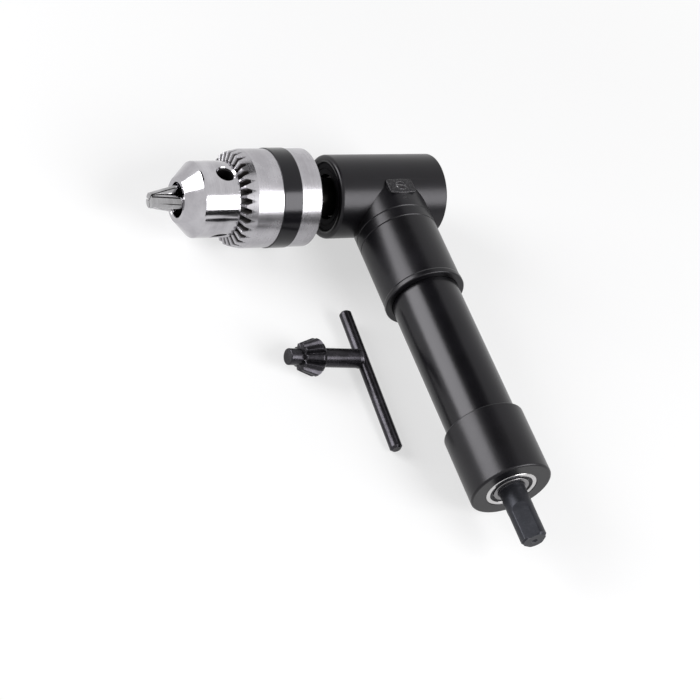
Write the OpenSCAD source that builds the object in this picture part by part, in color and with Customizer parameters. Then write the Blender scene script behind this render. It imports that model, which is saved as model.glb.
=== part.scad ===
// Right angle drill attachment with a keyed three-jaw chuck, and the chuck key that lies beside it.
// Millimetres. The chuck axis is X and the arm axis is Y, and both lie level at the height of the chuck's band.
// The origin is on the surface that the chuck rests on, under the middle of the whole object's box.

/* [Gear head] */
// Outer radius of the head's barrel
head_r = 16; // [15.6:0.1:17]
// Distance from the arm axis back to the head's closed end
head_rear = 21.4; // [21.2:0.1:24]
// Distance from the arm axis forward to the crest of the head's front lip
head_front = 24.7; // [24.4:0.1:28]
// Depth of the rounded front lip in front of the retainer ring
lip_h = 1.4; // [0.8:0.1:1.8]
// Broken edge round the head's closed end
head_break = 0.5; // [0.2:0.1:0.8]
// Outer radius of the boss that carries the arm, also of the lock ring and the neck
arm_r = 15.3; // [15.1:0.1:15.5]
// Distance from the chuck axis to the end of the boss
boss_end = 18.3; // [17.8:0.1:21]
// Width of the flat pad on top of the boss, along the chuck axis
pad_w = 11; // [8:0.5:13]
// Length of the pad along the arm
pad_len = 6.6; // [5:0.2:6.8]
// Distance from the chuck axis to the pad's near edge
pad_y = 5.5; // [4.5:0.1:6]
// Height of the pad's top above the two axes
pad_top = 15.6; // [15.6:0.1:16]
// Radius of the pad's corners
pad_corner = 1.2; // [0.4:0.1:2]
// Head radius of the grease screw in the pad
grease_head_r = 1.9; // [1.6:0.1:2.3]
// Shank radius of the grease screw
grease_shank_r = 1.2; // [0.9:0.1:1.4]

/* [Neck and grip] */
// Width of the knurl-free lock ring between boss and neck
lock_ring_w = 4.6; // [3.5:0.1:6]
// Length of the neck from the lock ring to its lip
neck_len = 28.4; // [26:0.2:36]
// Height of the lip at the end of the neck
neck_lip = 0.25; // [0.1:0.05:0.4]
// Width of that lip
neck_lip_w = 1.8; // [1:0.1:3]
// Outer radius of the grip tube
grip_r = 13; // [12.4:0.1:13.4]
// Wall of the grip tube
grip_wall = 2; // [1.4:0.1:3]
// Length of the grip tube that shows between neck and collar
grip_shows = 59; // [45:1:90]
// Length of the grip tube inside the neck
grip_in_neck = 21.3; // [16:0.1:22]
// Length of the grip tube inside the end collar
grip_in_collar = 15.7; // [12:0.1:17]
// Outer radius of the end collar
collar_r = 15.05; // [14.8:0.05:15.4]
// Length of the end collar
collar_len = 26.7; // [25:0.1:32]
// Broken edges of the neck and collar
edge_break = 0.5; // [0.2:0.1:0.8]
// Fine broken edges that make the ring lines round the neck
line_break = 0.25; // [0.15:0.05:0.4]

/* [Input shaft] */
// Radius of the input shaft
shaft_r = 5; // [4.9:0.05:5.2]
// Radius of the drive shank that a drill grips
shank_r = 4.75; // [4.4:0.05:4.85]
// Length of the shank beyond the collar
shank_len = 21.2; // [19:0.1:28]
// Round length of the shank before its flats
shank_round = 7.7; // [5:0.1:9]
// Distance from the shaft's axis to each flat
flat_at = 3.7; // [3.5:0.05:4]
// Radius of the flats' run-outs
flat_runout_r = 3; // [2:0.1:5]
// Turn of the first flat, from straight up towards the chuck
flat_turn = 35; // [0:1:60]
// Chamfer at the shank's tip
tip_chamfer = 0.7; // [0.4:0.1:1]

/* [Spindle] */
// Radius of the spindle at the gear and the front bearing
spindle_r = 5; // [4.9:0.05:5.2]
// Radius of the rear journal
journal_r = 4; // [3.6:0.1:4.3]
// Radius of the spindle's collar behind the chuck
collar_spindle_r = 7.3; // [7:0.1:7.6]
// Radius of the spindle's threaded nose
nose_thread_r = 4.76; // [4.5:0.02:4.8]
// Distance from the head's lip to the chuck's back face
chuck_gap = 9.1; // [6:0.1:12]
// Length of the rear needle bush
bush_len = 6; // [5:0.1:6.2]
// Outer radius of the rear needle bush
bush_r = 6; // [5.6:0.1:6.4]
// Thickness of the thrust washer behind the spindle gear
washer_t = 0.5; // [0.4:0.1:0.8]

/* [Mitre gears] */
// Teeth of each mitre gear
mitre_teeth = 14; // [12:1:15]
// Pitch radius of the mitre gears at their large end
mitre_r = 10.5; // [10:0.1:10.6]
// Part of the cone's length that the teeth take up
mitre_face_share = 0.31; // [0.2:0.01:0.32]
// Tooth height above the pitch cone, in degrees at the apex
mitre_add = 4.4; // [3:0.1:4.5]
// Part of the tooth pitch that the gap takes up on the pitch cone
mitre_gap_share = 0.6; // [0.59:0.005:0.64]
// Half angle of the V-shaped tooth gaps
mitre_half_angle = 36; // [32:1:38]
// Thickness of the gears' hub behind the teeth
mitre_hub = 2.3; // [2:0.1:2.6]

/* [Bearings] */
// Outer radius of the front bearing
front_bearing_r = 13; // [12.8:0.1:13.2]
// Width of the front bearing
front_bearing_w = 8; // [7:0.1:8.2]
// Radius of the front bearing's balls
front_ball_r = 2.2; // [1.8:0.1:2.3]
// Outer radius of the pinion bearing
pinion_bearing_r = 11; // [10.6:0.1:11.2]
// Width of the pinion bearing
pinion_bearing_w = 6; // [5:0.1:7]
// Radius of the pinion bearing's balls
pinion_ball_r = 1.7; // [1.4:0.1:1.8]
// Outer radius of the end bearing
end_bearing_r = 9.5; // [9.2:0.1:9.8]
// Width of the end bearing
end_bearing_w = 5; // [4.6:0.1:6]
// Radius of the end bearing's balls
end_ball_r = 1.15; // [0.9:0.05:1.2]
// Thickness of the front bearing's retainer ring
retainer_t = 1.8; // [1.4:0.1:2.2]
// Hole radius of the retainer ring
retainer_hole_r = 8.6; // [8:0.1:9.4]
// Thickness of the circlips
circlip_t = 1; // [0.8:0.1:1.2]
// Height of the circlips above their shaft
circlip_h = 1; // [0.7:0.1:1.1]

/* [Chuck sleeve] */
// Outer radius of the chuck's sleeve
sleeve_r = 18.5; // [18.2:0.1:19]
// Height of the black band above the sleeve
band_proud = 0.3; // [0.2:0.05:0.6]
// Distance from the chuck's back face to the band
band_z = 8.4; // [5:0.1:10]
// Width of the band
band_w = 7.6; // [5:0.1:9]
// Depth of the groove that holds the band
band_groove = 0.35; // [0.2:0.05:0.5]
// Wall of the sleeve round the chuck body's flange
sleeve_wall = 1.42; // [1.3:0.02:1.6]
// Rounding of the sleeve's rear rim
rear_round = 1.1; // [0.6:0.1:1.2]
// Length of the sleeve's front taper
sleeve_taper = 4.6; // [3:0.1:6]
// Step from the sleeve's radius in to the ring gear's outer crest circle
ring_step = 1.05; // [0.7:0.05:1.3]
// Teeth of the ring gear
ring_teeth = 30; // [24:1:32]
// Rise of the tooth crests per unit of radius, measured from the key's cross point
crest_share = 0.284; // [0.27:0.002:0.3]
// Rise of the gaps' bottom edge per unit of radius
root_share = 0.48; // [0.46:0.002:0.49]
// Half angle of the ring gear's V-shaped gaps
ring_half_angle = 24; // [21:1:25]
// Turn of the first gap, from the arm's direction towards up
ring_turn = 8.8; // [0:0.1:12]

/* [Chuck body] */
// Distance from the chuck's back face to the key holes
key_z = 35.6; // [34.8:0.1:37]
// Step from the sleeve's radius in to the chuck's nose
nose_step = 4.3; // [4.1:0.05:4.6]
// Distance from the chuck's back face to the nose's shoulder
nose_z = 45.4; // [44:0.1:47]
// Length of the nose's front cone
nose_cone = 5.8; // [5:0.1:7]
// Rounding between nose and front cone
nose_round = 1.2; // [0.6:0.1:1.6]
// Radius of the front opening round the jaws
mouth_r = 6.5; // [6.2:0.1:7]
// Width of the nose's front rim round that opening
rim_w = 1.9; // [1.5:0.1:2.2]
// Radius of the three key holes
key_hole_r = 3.2; // [3.1:0.02:3.4]
// Depth of the key holes
key_hole_depth = 6; // [5:0.1:6.5]
// Chamfer at the key holes' mouths
key_hole_chamfer = 0.35; // [0.2:0.05:0.5]
// Thickness of the body's rear flange
flange_t = 1.7; // [1.4:0.1:1.9]
// Step from the nose's radius out to the barrel inside the sleeve
barrel_step = 0.8; // [0.5:0.1:1]
// Radius of the bore behind the jaws
core_r = 5.3; // [5:0.1:5.5]
// Depth of the threaded bore at the back
thread_depth = 12.2; // [10:0.1:13]
// Thickness of the web that the chuck screw clamps
web_t = 2; // [1.5:0.1:2.5]
// Shank radius of the chuck screw
screw_r = 2.5; // [2:0.1:2.8]
// Head radius of the chuck screw
screw_head_r = 4.2; // [3.6:0.1:4.6]
// Head height of the chuck screw
screw_head_h = 3; // [2.4:0.1:4]

/* [Jaws and nut] */
// Radius of the round jaws
jaw_r = 2.6; // [2.5:0.02:2.65]
// Distance from the chuck's back face to the jaws' tips when closed
jaw_tip_z = 61.7; // [60.5:0.1:62.5]
// Distance from the chuck axis to a jaw's own axis at its tip
jaw_tip_off = 0.2; // [0.15:0.05:0.3]
// Distance from the chuck axis to a jaw's gripping edge when closed
grip_edge = 0.3; // [0.25:0.01:0.5]
// Length of a jaw from its tip to its rear end, along the chuck axis
jaw_len = 37.4; // [36:0.1:37.5]
// Largest diameter that the jaws grip
grip_max = 10; // [8:0.1:10]
// Turn of the first jaw, from the arm's direction towards up
jaw_turn = 30; // [0:1:60]
// Pitch of the jaws' rack teeth
rack_pitch = 2; // [1.6:0.1:2.4]
// Depth of the jaws' rack teeth
rack_depth = 0.55; // [0.3:0.05:0.6]
// Distance from the chuck's back face to the nut
nut_z = 19.5; // [19.2:0.1:19.8]
// Length of the split nut
nut_len = 7; // [6:0.1:7]
// Wall of the split nut at its rear end, outside the jaws
nut_wall = 2.52; // [2.5:0.02:2.8]
// Wall of the sleeve round the nut
nut_seat_wall = 2.28; // [2:0.02:2.5]
// Gap between the two halves of the nut
nut_split = 0.2; // [0.1:0.05:0.4]

/* [Chuck key] */
// Bar's distance from the arm axis, towards the chuck's side
key_bar_x = 26.7; // [22:0.1:30]
// Near end of the bar, measured along the arm from the chuck axis
key_bar_y = 45.3; // [40:0.1:50]
// Length of the key's cross bar
key_bar_len = 60.6; // [50:0.2:75]
// Radius of the cross bar
key_bar_r = 2.35; // [2:0.05:2.6]
// Distance from the bar's near end to the key's stem
key_stem_at = 21; // [15:0.1:26]
// Radius of the key's stem
key_stem_r = 3.55; // [3.4:0.05:3.8]
// Distance from the bar's axis to the stem's rear end
key_tail = 0.45; // [0.3:0.05:0.7]
// Flare of the stem's rear end, which makes room for the bar's seat
key_flare = 0.5; // [0.3:0.05:0.7]
// Distance from the bar's axis to the start of that flare
key_flare_at = 2.9; // [2.6:0.1:4]
// Distance from the bar to the back of the key's teeth
key_teeth_at = 18.9; // [15:0.1:24]
// Length of the rounded back of the key's teeth
key_back = 2.4; // [1.8:0.1:2.8]
// Length of the key's teeth
key_face = 5.9; // [5:0.1:6.4]
// Teeth of the key
key_teeth = 10; // [9:1:11]
// Rise of the key's tooth crests per unit of distance from the chuck axis
key_tip_share = 0.345; // [0.335:0.005:0.36]
// Rise of the key's tooth gaps per unit of distance from the chuck axis
key_root_share = 0.258; // [0.25:0.002:0.27]
// Half angle of the key's V-shaped gaps
key_half_angle = 38; // [34:1:40]
// Length of the pilot that enters a key hole
key_pilot_len = 5.2; // [4.2:0.1:5.3]

/* [Fits] */
// Radial clearance of parts that are pressed or screwed together
press_gap = 0.02; // [0.015:0.005:0.04]
// Radial clearance of parts that slide or turn in each other
run_gap = 0.08; // [0.05:0.01:0.09]
// Radial clearance of the jaws in their holes
jaw_gap = 0.06; // [0.05:0.01:0.08]
// Clearance between flat faces that turn past each other
face_gap = 0.1; // [0.08:0.01:0.12]
// Clearance round a part that nothing guides
free_gap = 0.28; // [0.2:0.02:0.3]
// Radial clearance of the key's pilot in a key hole
pilot_gap = 0.15; // [0.1:0.01:0.2]
// Length by which a cut runs past the solid that it opens
overrun = 2; // [1:0.5:3]

/* [Hidden] */
round_fn = 96;
arc_steps = 5;
jaws = 3;
flats = 3;

// Bearings, as shares of their balls' radius
shoulder_share = 0.6;
ball_room_share = 1.25;

// Mitre gears: the pitch cones meet at 45 degrees where the two axes cross
mitre_pitch = 45;
mitre_cone = mitre_r / sin(mitre_pitch);
mitre_toe = mitre_cone * (1 - mitre_face_share);
mitre_gap_turn = 180 * mitre_gap_share / mitre_teeth;
mitre_root = mitre_pitch - atan(sin(mitre_pitch) * tan(mitre_gap_turn) / tan(mitre_half_angle));
mitre_tip = mitre_pitch + mitre_add;
mitre_back = mitre_r + mitre_hub;
mitre_boss_share = 0.35;
mitre_boss = mitre_boss_share * mitre_hub;
mitre_boss_r = spindle_r + 1.5 * circlip_h;
mitre_turn = 360 / mitre_teeth;

// Stations along the chuck axis
seat_front = head_front - lip_h - retainer_t;
seat_rear = seat_front - front_bearing_w;
chuck_x = head_front + chuck_gap;
washer_x = -mitre_back - face_gap;
bush_x = washer_x - washer_t;
chamber_share = 0.35;
chamber_r = front_bearing_r - chamber_share * front_ball_r;
trim_share = 0.2;
lip_trim = trim_share * lip_h;

// Stations along the arm axis
pinion_seat = mitre_back + mitre_boss;
stub_start = pinion_seat - 0.5 * mitre_boss;
stub_share = 5 / 6;
stub_r = stub_share * arm_r;
neck_start = boss_end + lock_ring_w;
neck_end = neck_start + neck_len;
grip_start = neck_end - grip_in_neck;
collar_start = neck_end + grip_shows;
grip_end = collar_start + grip_in_collar;
collar_end = collar_start + collar_len;
end_seat = collar_end - end_bearing_w;
tip_y = collar_end + shank_len;
shaft_start = mitre_toe * cos(mitre_root);

// Chuck: heights are measured from its back face
band_r = sleeve_r + band_proud;
ring_r = sleeve_r - ring_step;
nose_r = sleeve_r - nose_step;
cavity_r = sleeve_r - sleeve_wall;
nut_r = sleeve_r - nut_seat_wall - press_gap;
front_bore_r = nose_r + run_gap;
groove_z = nut_z - face_gap;
groove_end = nut_z + nut_len + face_gap;
ring_z = key_z - crest_share * ring_r;
crest_angle = 90 - atan(crest_share);
root_angle = 90 - atan(root_share);
jaw_grip = jaw_tip_z - jaw_len;
// The jaws' tilt takes them from their tips through the rear end of the nut's bore
jaw_run = [jaw_tip_z - nut_z, nut_r - nut_wall - free_gap - jaw_tip_off];
jaw_tilt = atan(jaw_run[1] / jaw_run[0]) - asin(jaw_r / norm(jaw_run));
jaw_travel = (grip_max / 2 - grip_edge) / sin(jaw_tilt);
jaw_hole_z = jaw_grip - jaw_travel * cos(jaw_tilt) - free_gap;
barrel_r = nose_r + barrel_step;
flange_r = cavity_r - run_gap;
mouth_z = nose_z + nose_cone;
cone_r = mouth_r + rim_w;
cone_angle = atan((nose_r - cone_r) / nose_cone);
function jaw_outer(z) = jaw_tip_off + (jaw_tip_z - z) * tan(jaw_tilt) + jaw_r / cos(jaw_tilt);
function nut_bore(z) = jaw_outer(z) + free_gap;
groove_r = nut_bore(nut_z + nut_len) - 2.5 * free_gap;

// Chuck key: lengths along its stem are measured from the bar
key_big_at = key_teeth_at + key_back;
key_front = key_big_at + key_face;
key_apex = key_front + nose_r + 5 * run_gap;
key_big_r = key_tip_share * (key_apex - key_big_at);
key_pilot_r = key_hole_r - pilot_gap;
// It lies on the rim of its flared end, on one tooth and on the bar's long end
key_end_r = key_stem_r + key_flare;
key_lean = atan((key_big_r - key_end_r) / (key_big_at + key_tail));
key_height = key_end_r * cos(key_lean) + key_tail * sin(key_lean);
key_roll = asin((key_height - key_bar_r) / (key_bar_len - key_stem_at));

// Place of the crossing axes in the object's own frame: the widest piece touches the surface
rest_r = max(band_r, head_r, arm_r + neck_lip);
box_min = [-head_rear, -max(band_r, head_r)];
box_max = [chuck_x + jaw_tip_z, tip_y];
crossing = [-(box_min[0] + box_max[0]) / 2, -(box_min[1] + box_max[1]) / 2, rest_r];

// Local z runs along the chuck axis, x along the arm and y up
module on_chuck_axis() translate(crossing) rotate([90, 0, 90]) children();
// Local z runs along the arm, x up and y along the chuck axis
module on_arm_axis() translate(crossing) rotate([-90, -90, 0]) children();
module on_chuck() on_chuck_axis() translate([0, 0, chuck_x]) children();
module turned(outline) rotate_extrude($fn = round_fn) polygon(outline);
module tube(outer, inner, z, len) turned([[inner, z], [outer, z], [outer, z + len], [inner, z + len]]);

// Points of an arc about c, with its own radius in each direction, in OpenSCAD's order of angles
function arc(c, rx, ry, from, to) =
    [for (i = [0:arc_steps]) let (a = from + (to - from) * i / arc_steps) c + [rx * cos(a), ry * sin(a)]];

// V-shaped cuts that all run through the cone's apex at the origin, with the cone opening towards +z
module tooth_gaps(count, line_angle, half_angle, from, to, depth, turn = 0) {
    for (i = [0:count - 1])
        rotate([0, 0, turn + i * 360 / count]) rotate([0, line_angle, 0])
            translate([0, 0, from]) linear_extrude(to - from)
                polygon([[0, 0], [depth, -depth * tan(half_angle)], [depth, depth * tan(half_angle)]]);
}

// One mitre gear with its apex at the origin and its hub towards +z
module mitre_gear(bore_r, boss, turn) {
    tip_big = mitre_cone * [sin(mitre_tip), cos(mitre_tip)];
    tip_small = mitre_toe * [sin(mitre_tip), cos(mitre_tip)];
    toe_z = mitre_toe * cos(mitre_root);
    toe_drop = toe_z - tip_small[1];
    back_drop = mitre_back - tip_big[1] - mitre_boss;
    depth = mitre_cone * sin(mitre_tip - mitre_root) + overrun;
    difference() {
        turned([
            [bore_r, toe_z], [tip_small[0] - toe_drop, toe_z], tip_small, tip_big,
            [tip_big[0] - back_drop, tip_big[1] + back_drop], [tip_big[0] - back_drop, mitre_back],
            [mitre_boss_r, mitre_back], [mitre_boss_r, mitre_back + boss], [bore_r, mitre_back + boss]
        ]);
        tooth_gaps(mitre_teeth, mitre_root, mitre_half_angle, mitre_toe - overrun,
            mitre_cone + overrun, depth, turn);
    }
}

// Ball bearing pieces on local z: races with ball grooves, and a ring of balls
module race(outer, inner, z, width, pitch_r, groove) {
    difference() {
        tube(outer, inner, z, width);
        translate([0, 0, z + width / 2]) rotate_extrude($fn = round_fn)
            translate([pitch_r, 0]) circle(r = groove, $fn = round_fn);
    }
}
module outer_race(outer, bore_r, z, width, ball_r) {
    pitch_r = (outer + bore_r) / 2;
    race(outer - press_gap, pitch_r + shoulder_share * ball_r, z, width, pitch_r, ball_r + press_gap);
}
module inner_race(outer, bore_r, z, width, ball_r) {
    pitch_r = (outer + bore_r) / 2;
    race(pitch_r - shoulder_share * ball_r, bore_r + press_gap, z, width, pitch_r, ball_r + run_gap);
}
module balls(outer, bore_r, z, width, ball_r) {
    pitch_r = (outer + bore_r) / 2;
    count = floor(180 / asin(ball_room_share * ball_r / pitch_r));
    for (i = [0:count - 1])
        rotate([0, 0, 360 * i / count]) translate([pitch_r, 0, z + width / 2]) sphere(r = ball_r, $fn = 32);
}

// Gear head
module head_outline() {
    front = head_front - lip_h;
    bore = front_bearing_r - lip_trim;
    turned(concat(
        [[0, -head_rear], [head_r - head_break, -head_rear], [head_r, -head_rear + head_break]],
        arc([(head_r + bore) / 2, front], (head_r - bore) / 2, lip_h, 0, 180),
        [[0, front]]
    ));
}
module head_chamber() {
    turned([
        [0, bush_x - bush_len], [bush_r, bush_x - bush_len], [bush_r, bush_x],
        [chamber_r, bush_x], [chamber_r, seat_rear], [front_bearing_r, seat_rear],
        [front_bearing_r, head_front + overrun], [0, head_front + overrun]
    ]);
}
module pad_block() {
    translate(crossing) translate([-pad_w / 2, pad_y, 0]) linear_extrude(pad_top)
        translate([pad_corner, pad_corner]) offset(r = pad_corner)
            square([pad_w - 2 * pad_corner, pad_len - 2 * pad_corner]);
}
module on_grease_screw() translate(crossing + [0, pad_y + pad_len / 2, 0]) children();
module head_housing() {
    color("#1b1b1d") difference() {
        union() {
            on_chuck_axis() head_outline();
            on_arm_axis() turned([[0, 0], [arm_r, 0], [arm_r, boss_end - line_break],
                [arm_r - line_break, boss_end], [0, boss_end]]);
            pad_block();
        }
        on_chuck_axis() head_chamber();
        on_arm_axis() cylinder(r = stub_r + press_gap, h = boss_end + overrun, $fn = round_fn);
        on_grease_screw() {
            cylinder(r = grease_shank_r + press_gap, h = head_r + overrun, $fn = round_fn);
            translate([0, 0, pad_top - grease_head_r / 2])
                cylinder(r = grease_head_r + press_gap, h = overrun, $fn = round_fn);
        }
    }
}
module grease_screw() {
    slot_w = grease_head_r / 4;
    tip_z = stub_r + (pad_top - stub_r) / 6;
    color("#2a2a2c") on_grease_screw() difference() {
        turned([[0, tip_z], [grease_shank_r, tip_z], [grease_shank_r, pad_top - grease_head_r / 2],
            [grease_head_r, pad_top - grease_head_r / 2], [grease_head_r, pad_top - line_break / 2],
            [grease_head_r - line_break, pad_top + line_break / 2], [0, pad_top + line_break / 2]]);
        translate([-grease_head_r * 2, -slot_w / 2, pad_top - slot_w])
            cube([grease_head_r * 4, slot_w, overrun]);
    }
}
module retainer_ring() {
    color("#232325") on_chuck_axis()
        tube(front_bearing_r - press_gap, retainer_hole_r, seat_front, retainer_t);
}
module thrust_washer() {
    color("#b8b6ae") on_chuck_axis() tube(bush_r + bush_r / 3, journal_r + run_gap, bush_x, washer_t);
}
module rear_bush() {
    color("#9c9a94") on_chuck_axis()
        tube(bush_r - press_gap, journal_r + press_gap, bush_x - bush_len, bush_len);
}

// Neck, grip and collar
module lock_ring() {
    color("#1e1e20") on_arm_axis() turned([
        [stub_r + press_gap, boss_end], [arm_r - line_break, boss_end], [arm_r, boss_end + line_break],
        [arm_r, neck_start - line_break], [arm_r - line_break, neck_start], [stub_r + press_gap, neck_start]
    ]);
}
module neck_sleeve() {
    seat_r = pinion_bearing_r;
    core = (seat_r + shaft_r + circlip_h) / 2 + circlip_h / 2;
    seat_end = pinion_seat + pinion_bearing_w;
    color("#1b1b1d") on_arm_axis() turned([
        [seat_r, stub_start], [stub_r, stub_start], [stub_r, neck_start],
        [arm_r - line_break, neck_start], [arm_r, neck_start + line_break],
        [arm_r, neck_end - neck_lip_w - edge_break], [arm_r + neck_lip, neck_end - neck_lip_w],
        [arm_r + neck_lip, neck_end - edge_break], [arm_r + neck_lip - edge_break, neck_end],
        [grip_r + press_gap, neck_end], [grip_r + press_gap, grip_start], [core, grip_start],
        [core, seat_end], [seat_r, seat_end]
    ]);
}
module grip_tube() {
    color("#161617") on_arm_axis() tube(grip_r, grip_r - grip_wall, grip_start, grip_end - grip_start);
}
module end_collar() {
    seat_r = end_bearing_r;
    core = seat_r - end_ball_r / 2;
    color("#1b1b1d") on_arm_axis() turned(concat(
        [[grip_r + press_gap, grip_end], [grip_r + press_gap, collar_start],
        [collar_r - edge_break, collar_start], [collar_r, collar_start + edge_break]],
        arc([collar_r - edge_break, collar_end - edge_break], edge_break, edge_break, 0, 90),
        [[seat_r + line_break, collar_end], [seat_r, collar_end - line_break],
        [seat_r, end_seat], [core, end_seat], [core, grip_end]]
    ));
}

// Bearings
module front_bearing_outer() {
    color("#c9c9c7") on_chuck_axis()
        outer_race(front_bearing_r, spindle_r, seat_rear, front_bearing_w, front_ball_r);
}
module front_bearing_balls() {
    color("#d8d8d8") on_chuck_axis()
        balls(front_bearing_r, spindle_r, seat_rear, front_bearing_w, front_ball_r);
}
module front_bearing_inner() {
    color("#bdbdbb") on_chuck_axis()
        inner_race(front_bearing_r, spindle_r, seat_rear, front_bearing_w, front_ball_r);
}
module pinion_bearing_outer() {
    color("#c9c9c7") on_arm_axis()
        outer_race(pinion_bearing_r, shaft_r, pinion_seat, pinion_bearing_w, pinion_ball_r);
}
module pinion_bearing_balls() {
    color("#d8d8d8") on_arm_axis()
        balls(pinion_bearing_r, shaft_r, pinion_seat, pinion_bearing_w, pinion_ball_r);
}
module pinion_bearing_inner() {
    color("#bdbdbb") on_arm_axis()
        inner_race(pinion_bearing_r, shaft_r, pinion_seat, pinion_bearing_w, pinion_ball_r);
}
module end_bearing_outer() {
    color("#c9c9c7") on_arm_axis()
        outer_race(end_bearing_r, shaft_r, end_seat, end_bearing_w, end_ball_r);
}
module end_bearing_balls() {
    color("#d8d8d8") on_arm_axis()
        balls(end_bearing_r, shaft_r, end_seat, end_bearing_w, end_ball_r);
}
module end_bearing_inner() {
    color("#bdbdbb") on_arm_axis()
        inner_race(end_bearing_r, shaft_r, end_seat, end_bearing_w, end_ball_r);
}
module end_bearing_shield() {
    pitch_r = (end_bearing_r + shaft_r) / 2;
    outer = pitch_r + shoulder_share * end_ball_r - press_gap;
    inner = pitch_r - shoulder_share * end_ball_r + free_gap;
    thick = end_ball_r / 3;
    color("#3a3a3c") on_arm_axis() tube(outer, inner, collar_end - 1.5 * thick, thick);
}

// Spindle and its gear
module spindle() {
    groove = shaft_start - circlip_t;
    nose_end = chuck_x + thread_depth - face_gap;
    hole_start = chuck_x + thread_depth / 3;
    color("#8f8f8c") on_chuck_axis() turned([
        [0, bush_x - bush_len + face_gap], [journal_r - line_break, bush_x - bush_len + face_gap],
        [journal_r, bush_x - bush_len + face_gap + line_break], [journal_r, -mitre_back],
        [spindle_r, -mitre_back], [spindle_r, -shaft_start],
        [spindle_r - circlip_h / 2, -shaft_start], [spindle_r - circlip_h / 2, -groove],
        [spindle_r, -groove], [spindle_r, seat_front], [collar_spindle_r, seat_front],
        [collar_spindle_r, chuck_x], [nose_thread_r, chuck_x], [nose_thread_r, nose_end],
        [screw_r + press_gap, nose_end], [screw_r + press_gap, hole_start], [0, hole_start]
    ]);
}
module spindle_gear() {
    color("#86827a") on_chuck_axis() rotate([180, 0, 0])
        mitre_gear(spindle_r + press_gap, 0, mitre_turn / 2);
}
module circlip(shaft, z) {
    tube(shaft + circlip_h, shaft - circlip_h / 2 + press_gap, z, circlip_t);
}
module spindle_circlip() {
    color("#3a3a3c") on_chuck_axis() circlip(spindle_r, -shaft_start);
}

// Input shaft with its three-flat shank
module shank_flat() {
    rise = shank_r - flat_at;
    start = collar_end + shank_round + sqrt(pow(flat_runout_r, 2) - pow(flat_runout_r - rise, 2));
    // The outline lies in the plane of the shaft's axis and is extruded across it
    rotate([90, 0, 0]) translate([0, 0, -shank_r]) linear_extrude(2 * shank_r) polygon(concat(
        arc([flat_at + flat_runout_r, start], flat_runout_r, flat_runout_r, 270, 180),
        [[flat_at, tip_y + overrun], [flat_at + flat_runout_r, tip_y + overrun]]
    ));
}
module input_shaft() {
    clip_1 = pinion_seat + pinion_bearing_w;
    clip_2 = end_seat - circlip_t;
    groove_r_shaft = shaft_r - circlip_h / 2;
    centre_r = shank_r / 4;
    step_y = collar_end + edge_break / 2;
    color("#2c2b2c") on_arm_axis() difference() {
        turned([
            [0, shaft_start], [shaft_r, shaft_start], [shaft_r, clip_1], [groove_r_shaft, clip_1],
            [groove_r_shaft, clip_1 + circlip_t], [shaft_r, clip_1 + circlip_t], [shaft_r, clip_2],
            [groove_r_shaft, clip_2], [groove_r_shaft, clip_2 + circlip_t], [shaft_r, clip_2 + circlip_t],
            [shaft_r, step_y], [shank_r, step_y], [shank_r, tip_y - tip_chamfer],
            [shank_r - tip_chamfer, tip_y], [centre_r, tip_y], [0, tip_y - centre_r]
        ]);
        for (i = [0:flats - 1]) rotate([0, 0, flat_turn + i * 360 / flats]) shank_flat();
    }
}
module input_pinion() {
    color("#86827a") on_arm_axis() mitre_gear(shaft_r + press_gap, mitre_boss, -90);
}
module pinion_circlip() {
    color("#3a3a3c") on_arm_axis() circlip(shaft_r, pinion_seat + pinion_bearing_w);
}
module end_circlip() {
    color("#3a3a3c") on_arm_axis() circlip(shaft_r, end_seat - circlip_t);
}

// Chuck
module jaw_rod(radius, from_z, to_z) {
    // A rod on a jaw's axis: heights are along the chuck axis
    translate([jaw_tip_off, 0, jaw_tip_z]) rotate([0, -jaw_tilt, 0])
        translate([0, 0, -(jaw_tip_z - from_z) / cos(jaw_tilt)])
            cylinder(r = radius, h = (to_z - from_z) / cos(jaw_tilt), $fn = round_fn);
}
module chuck_body() {
    color("#c3c3c4") on_chuck() difference() {
        turned(concat(
            [[nose_thread_r + press_gap, 0], [flange_r, 0], [flange_r, flange_t], [barrel_r, flange_t],
            [barrel_r, groove_z], [groove_r, groove_z], [groove_r, groove_end], [nose_r, groove_end]],
            arc([nose_r - nose_round, nose_z - nose_round * tan(cone_angle / 2)], nose_round, nose_round,
                0, cone_angle),
            [[cone_r, mouth_z - line_break]],
            arc([(cone_r + mouth_r) / 2, mouth_z - line_break], (cone_r - mouth_r) / 2, line_break * 2, 0, 180),
            [[mouth_r, nose_z], [core_r, nose_z - (mouth_r - core_r)], [core_r, thread_depth + web_t],
            [screw_r + press_gap, thread_depth + web_t], [screw_r + press_gap, thread_depth],
            [nose_thread_r + press_gap, thread_depth]]
        ));
        for (i = [0:jaws - 1]) rotate([0, 0, jaw_turn + i * 360 / jaws])
            jaw_rod(jaw_r + jaw_gap, jaw_hole_z, jaw_tip_z);
        for (i = [0:jaws - 1]) rotate([0, 0, jaw_turn + (i + 1 / 2) * 360 / jaws]) translate([0, 0, key_z])
            rotate([0, 90, 0]) key_hole();
    }
}
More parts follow.
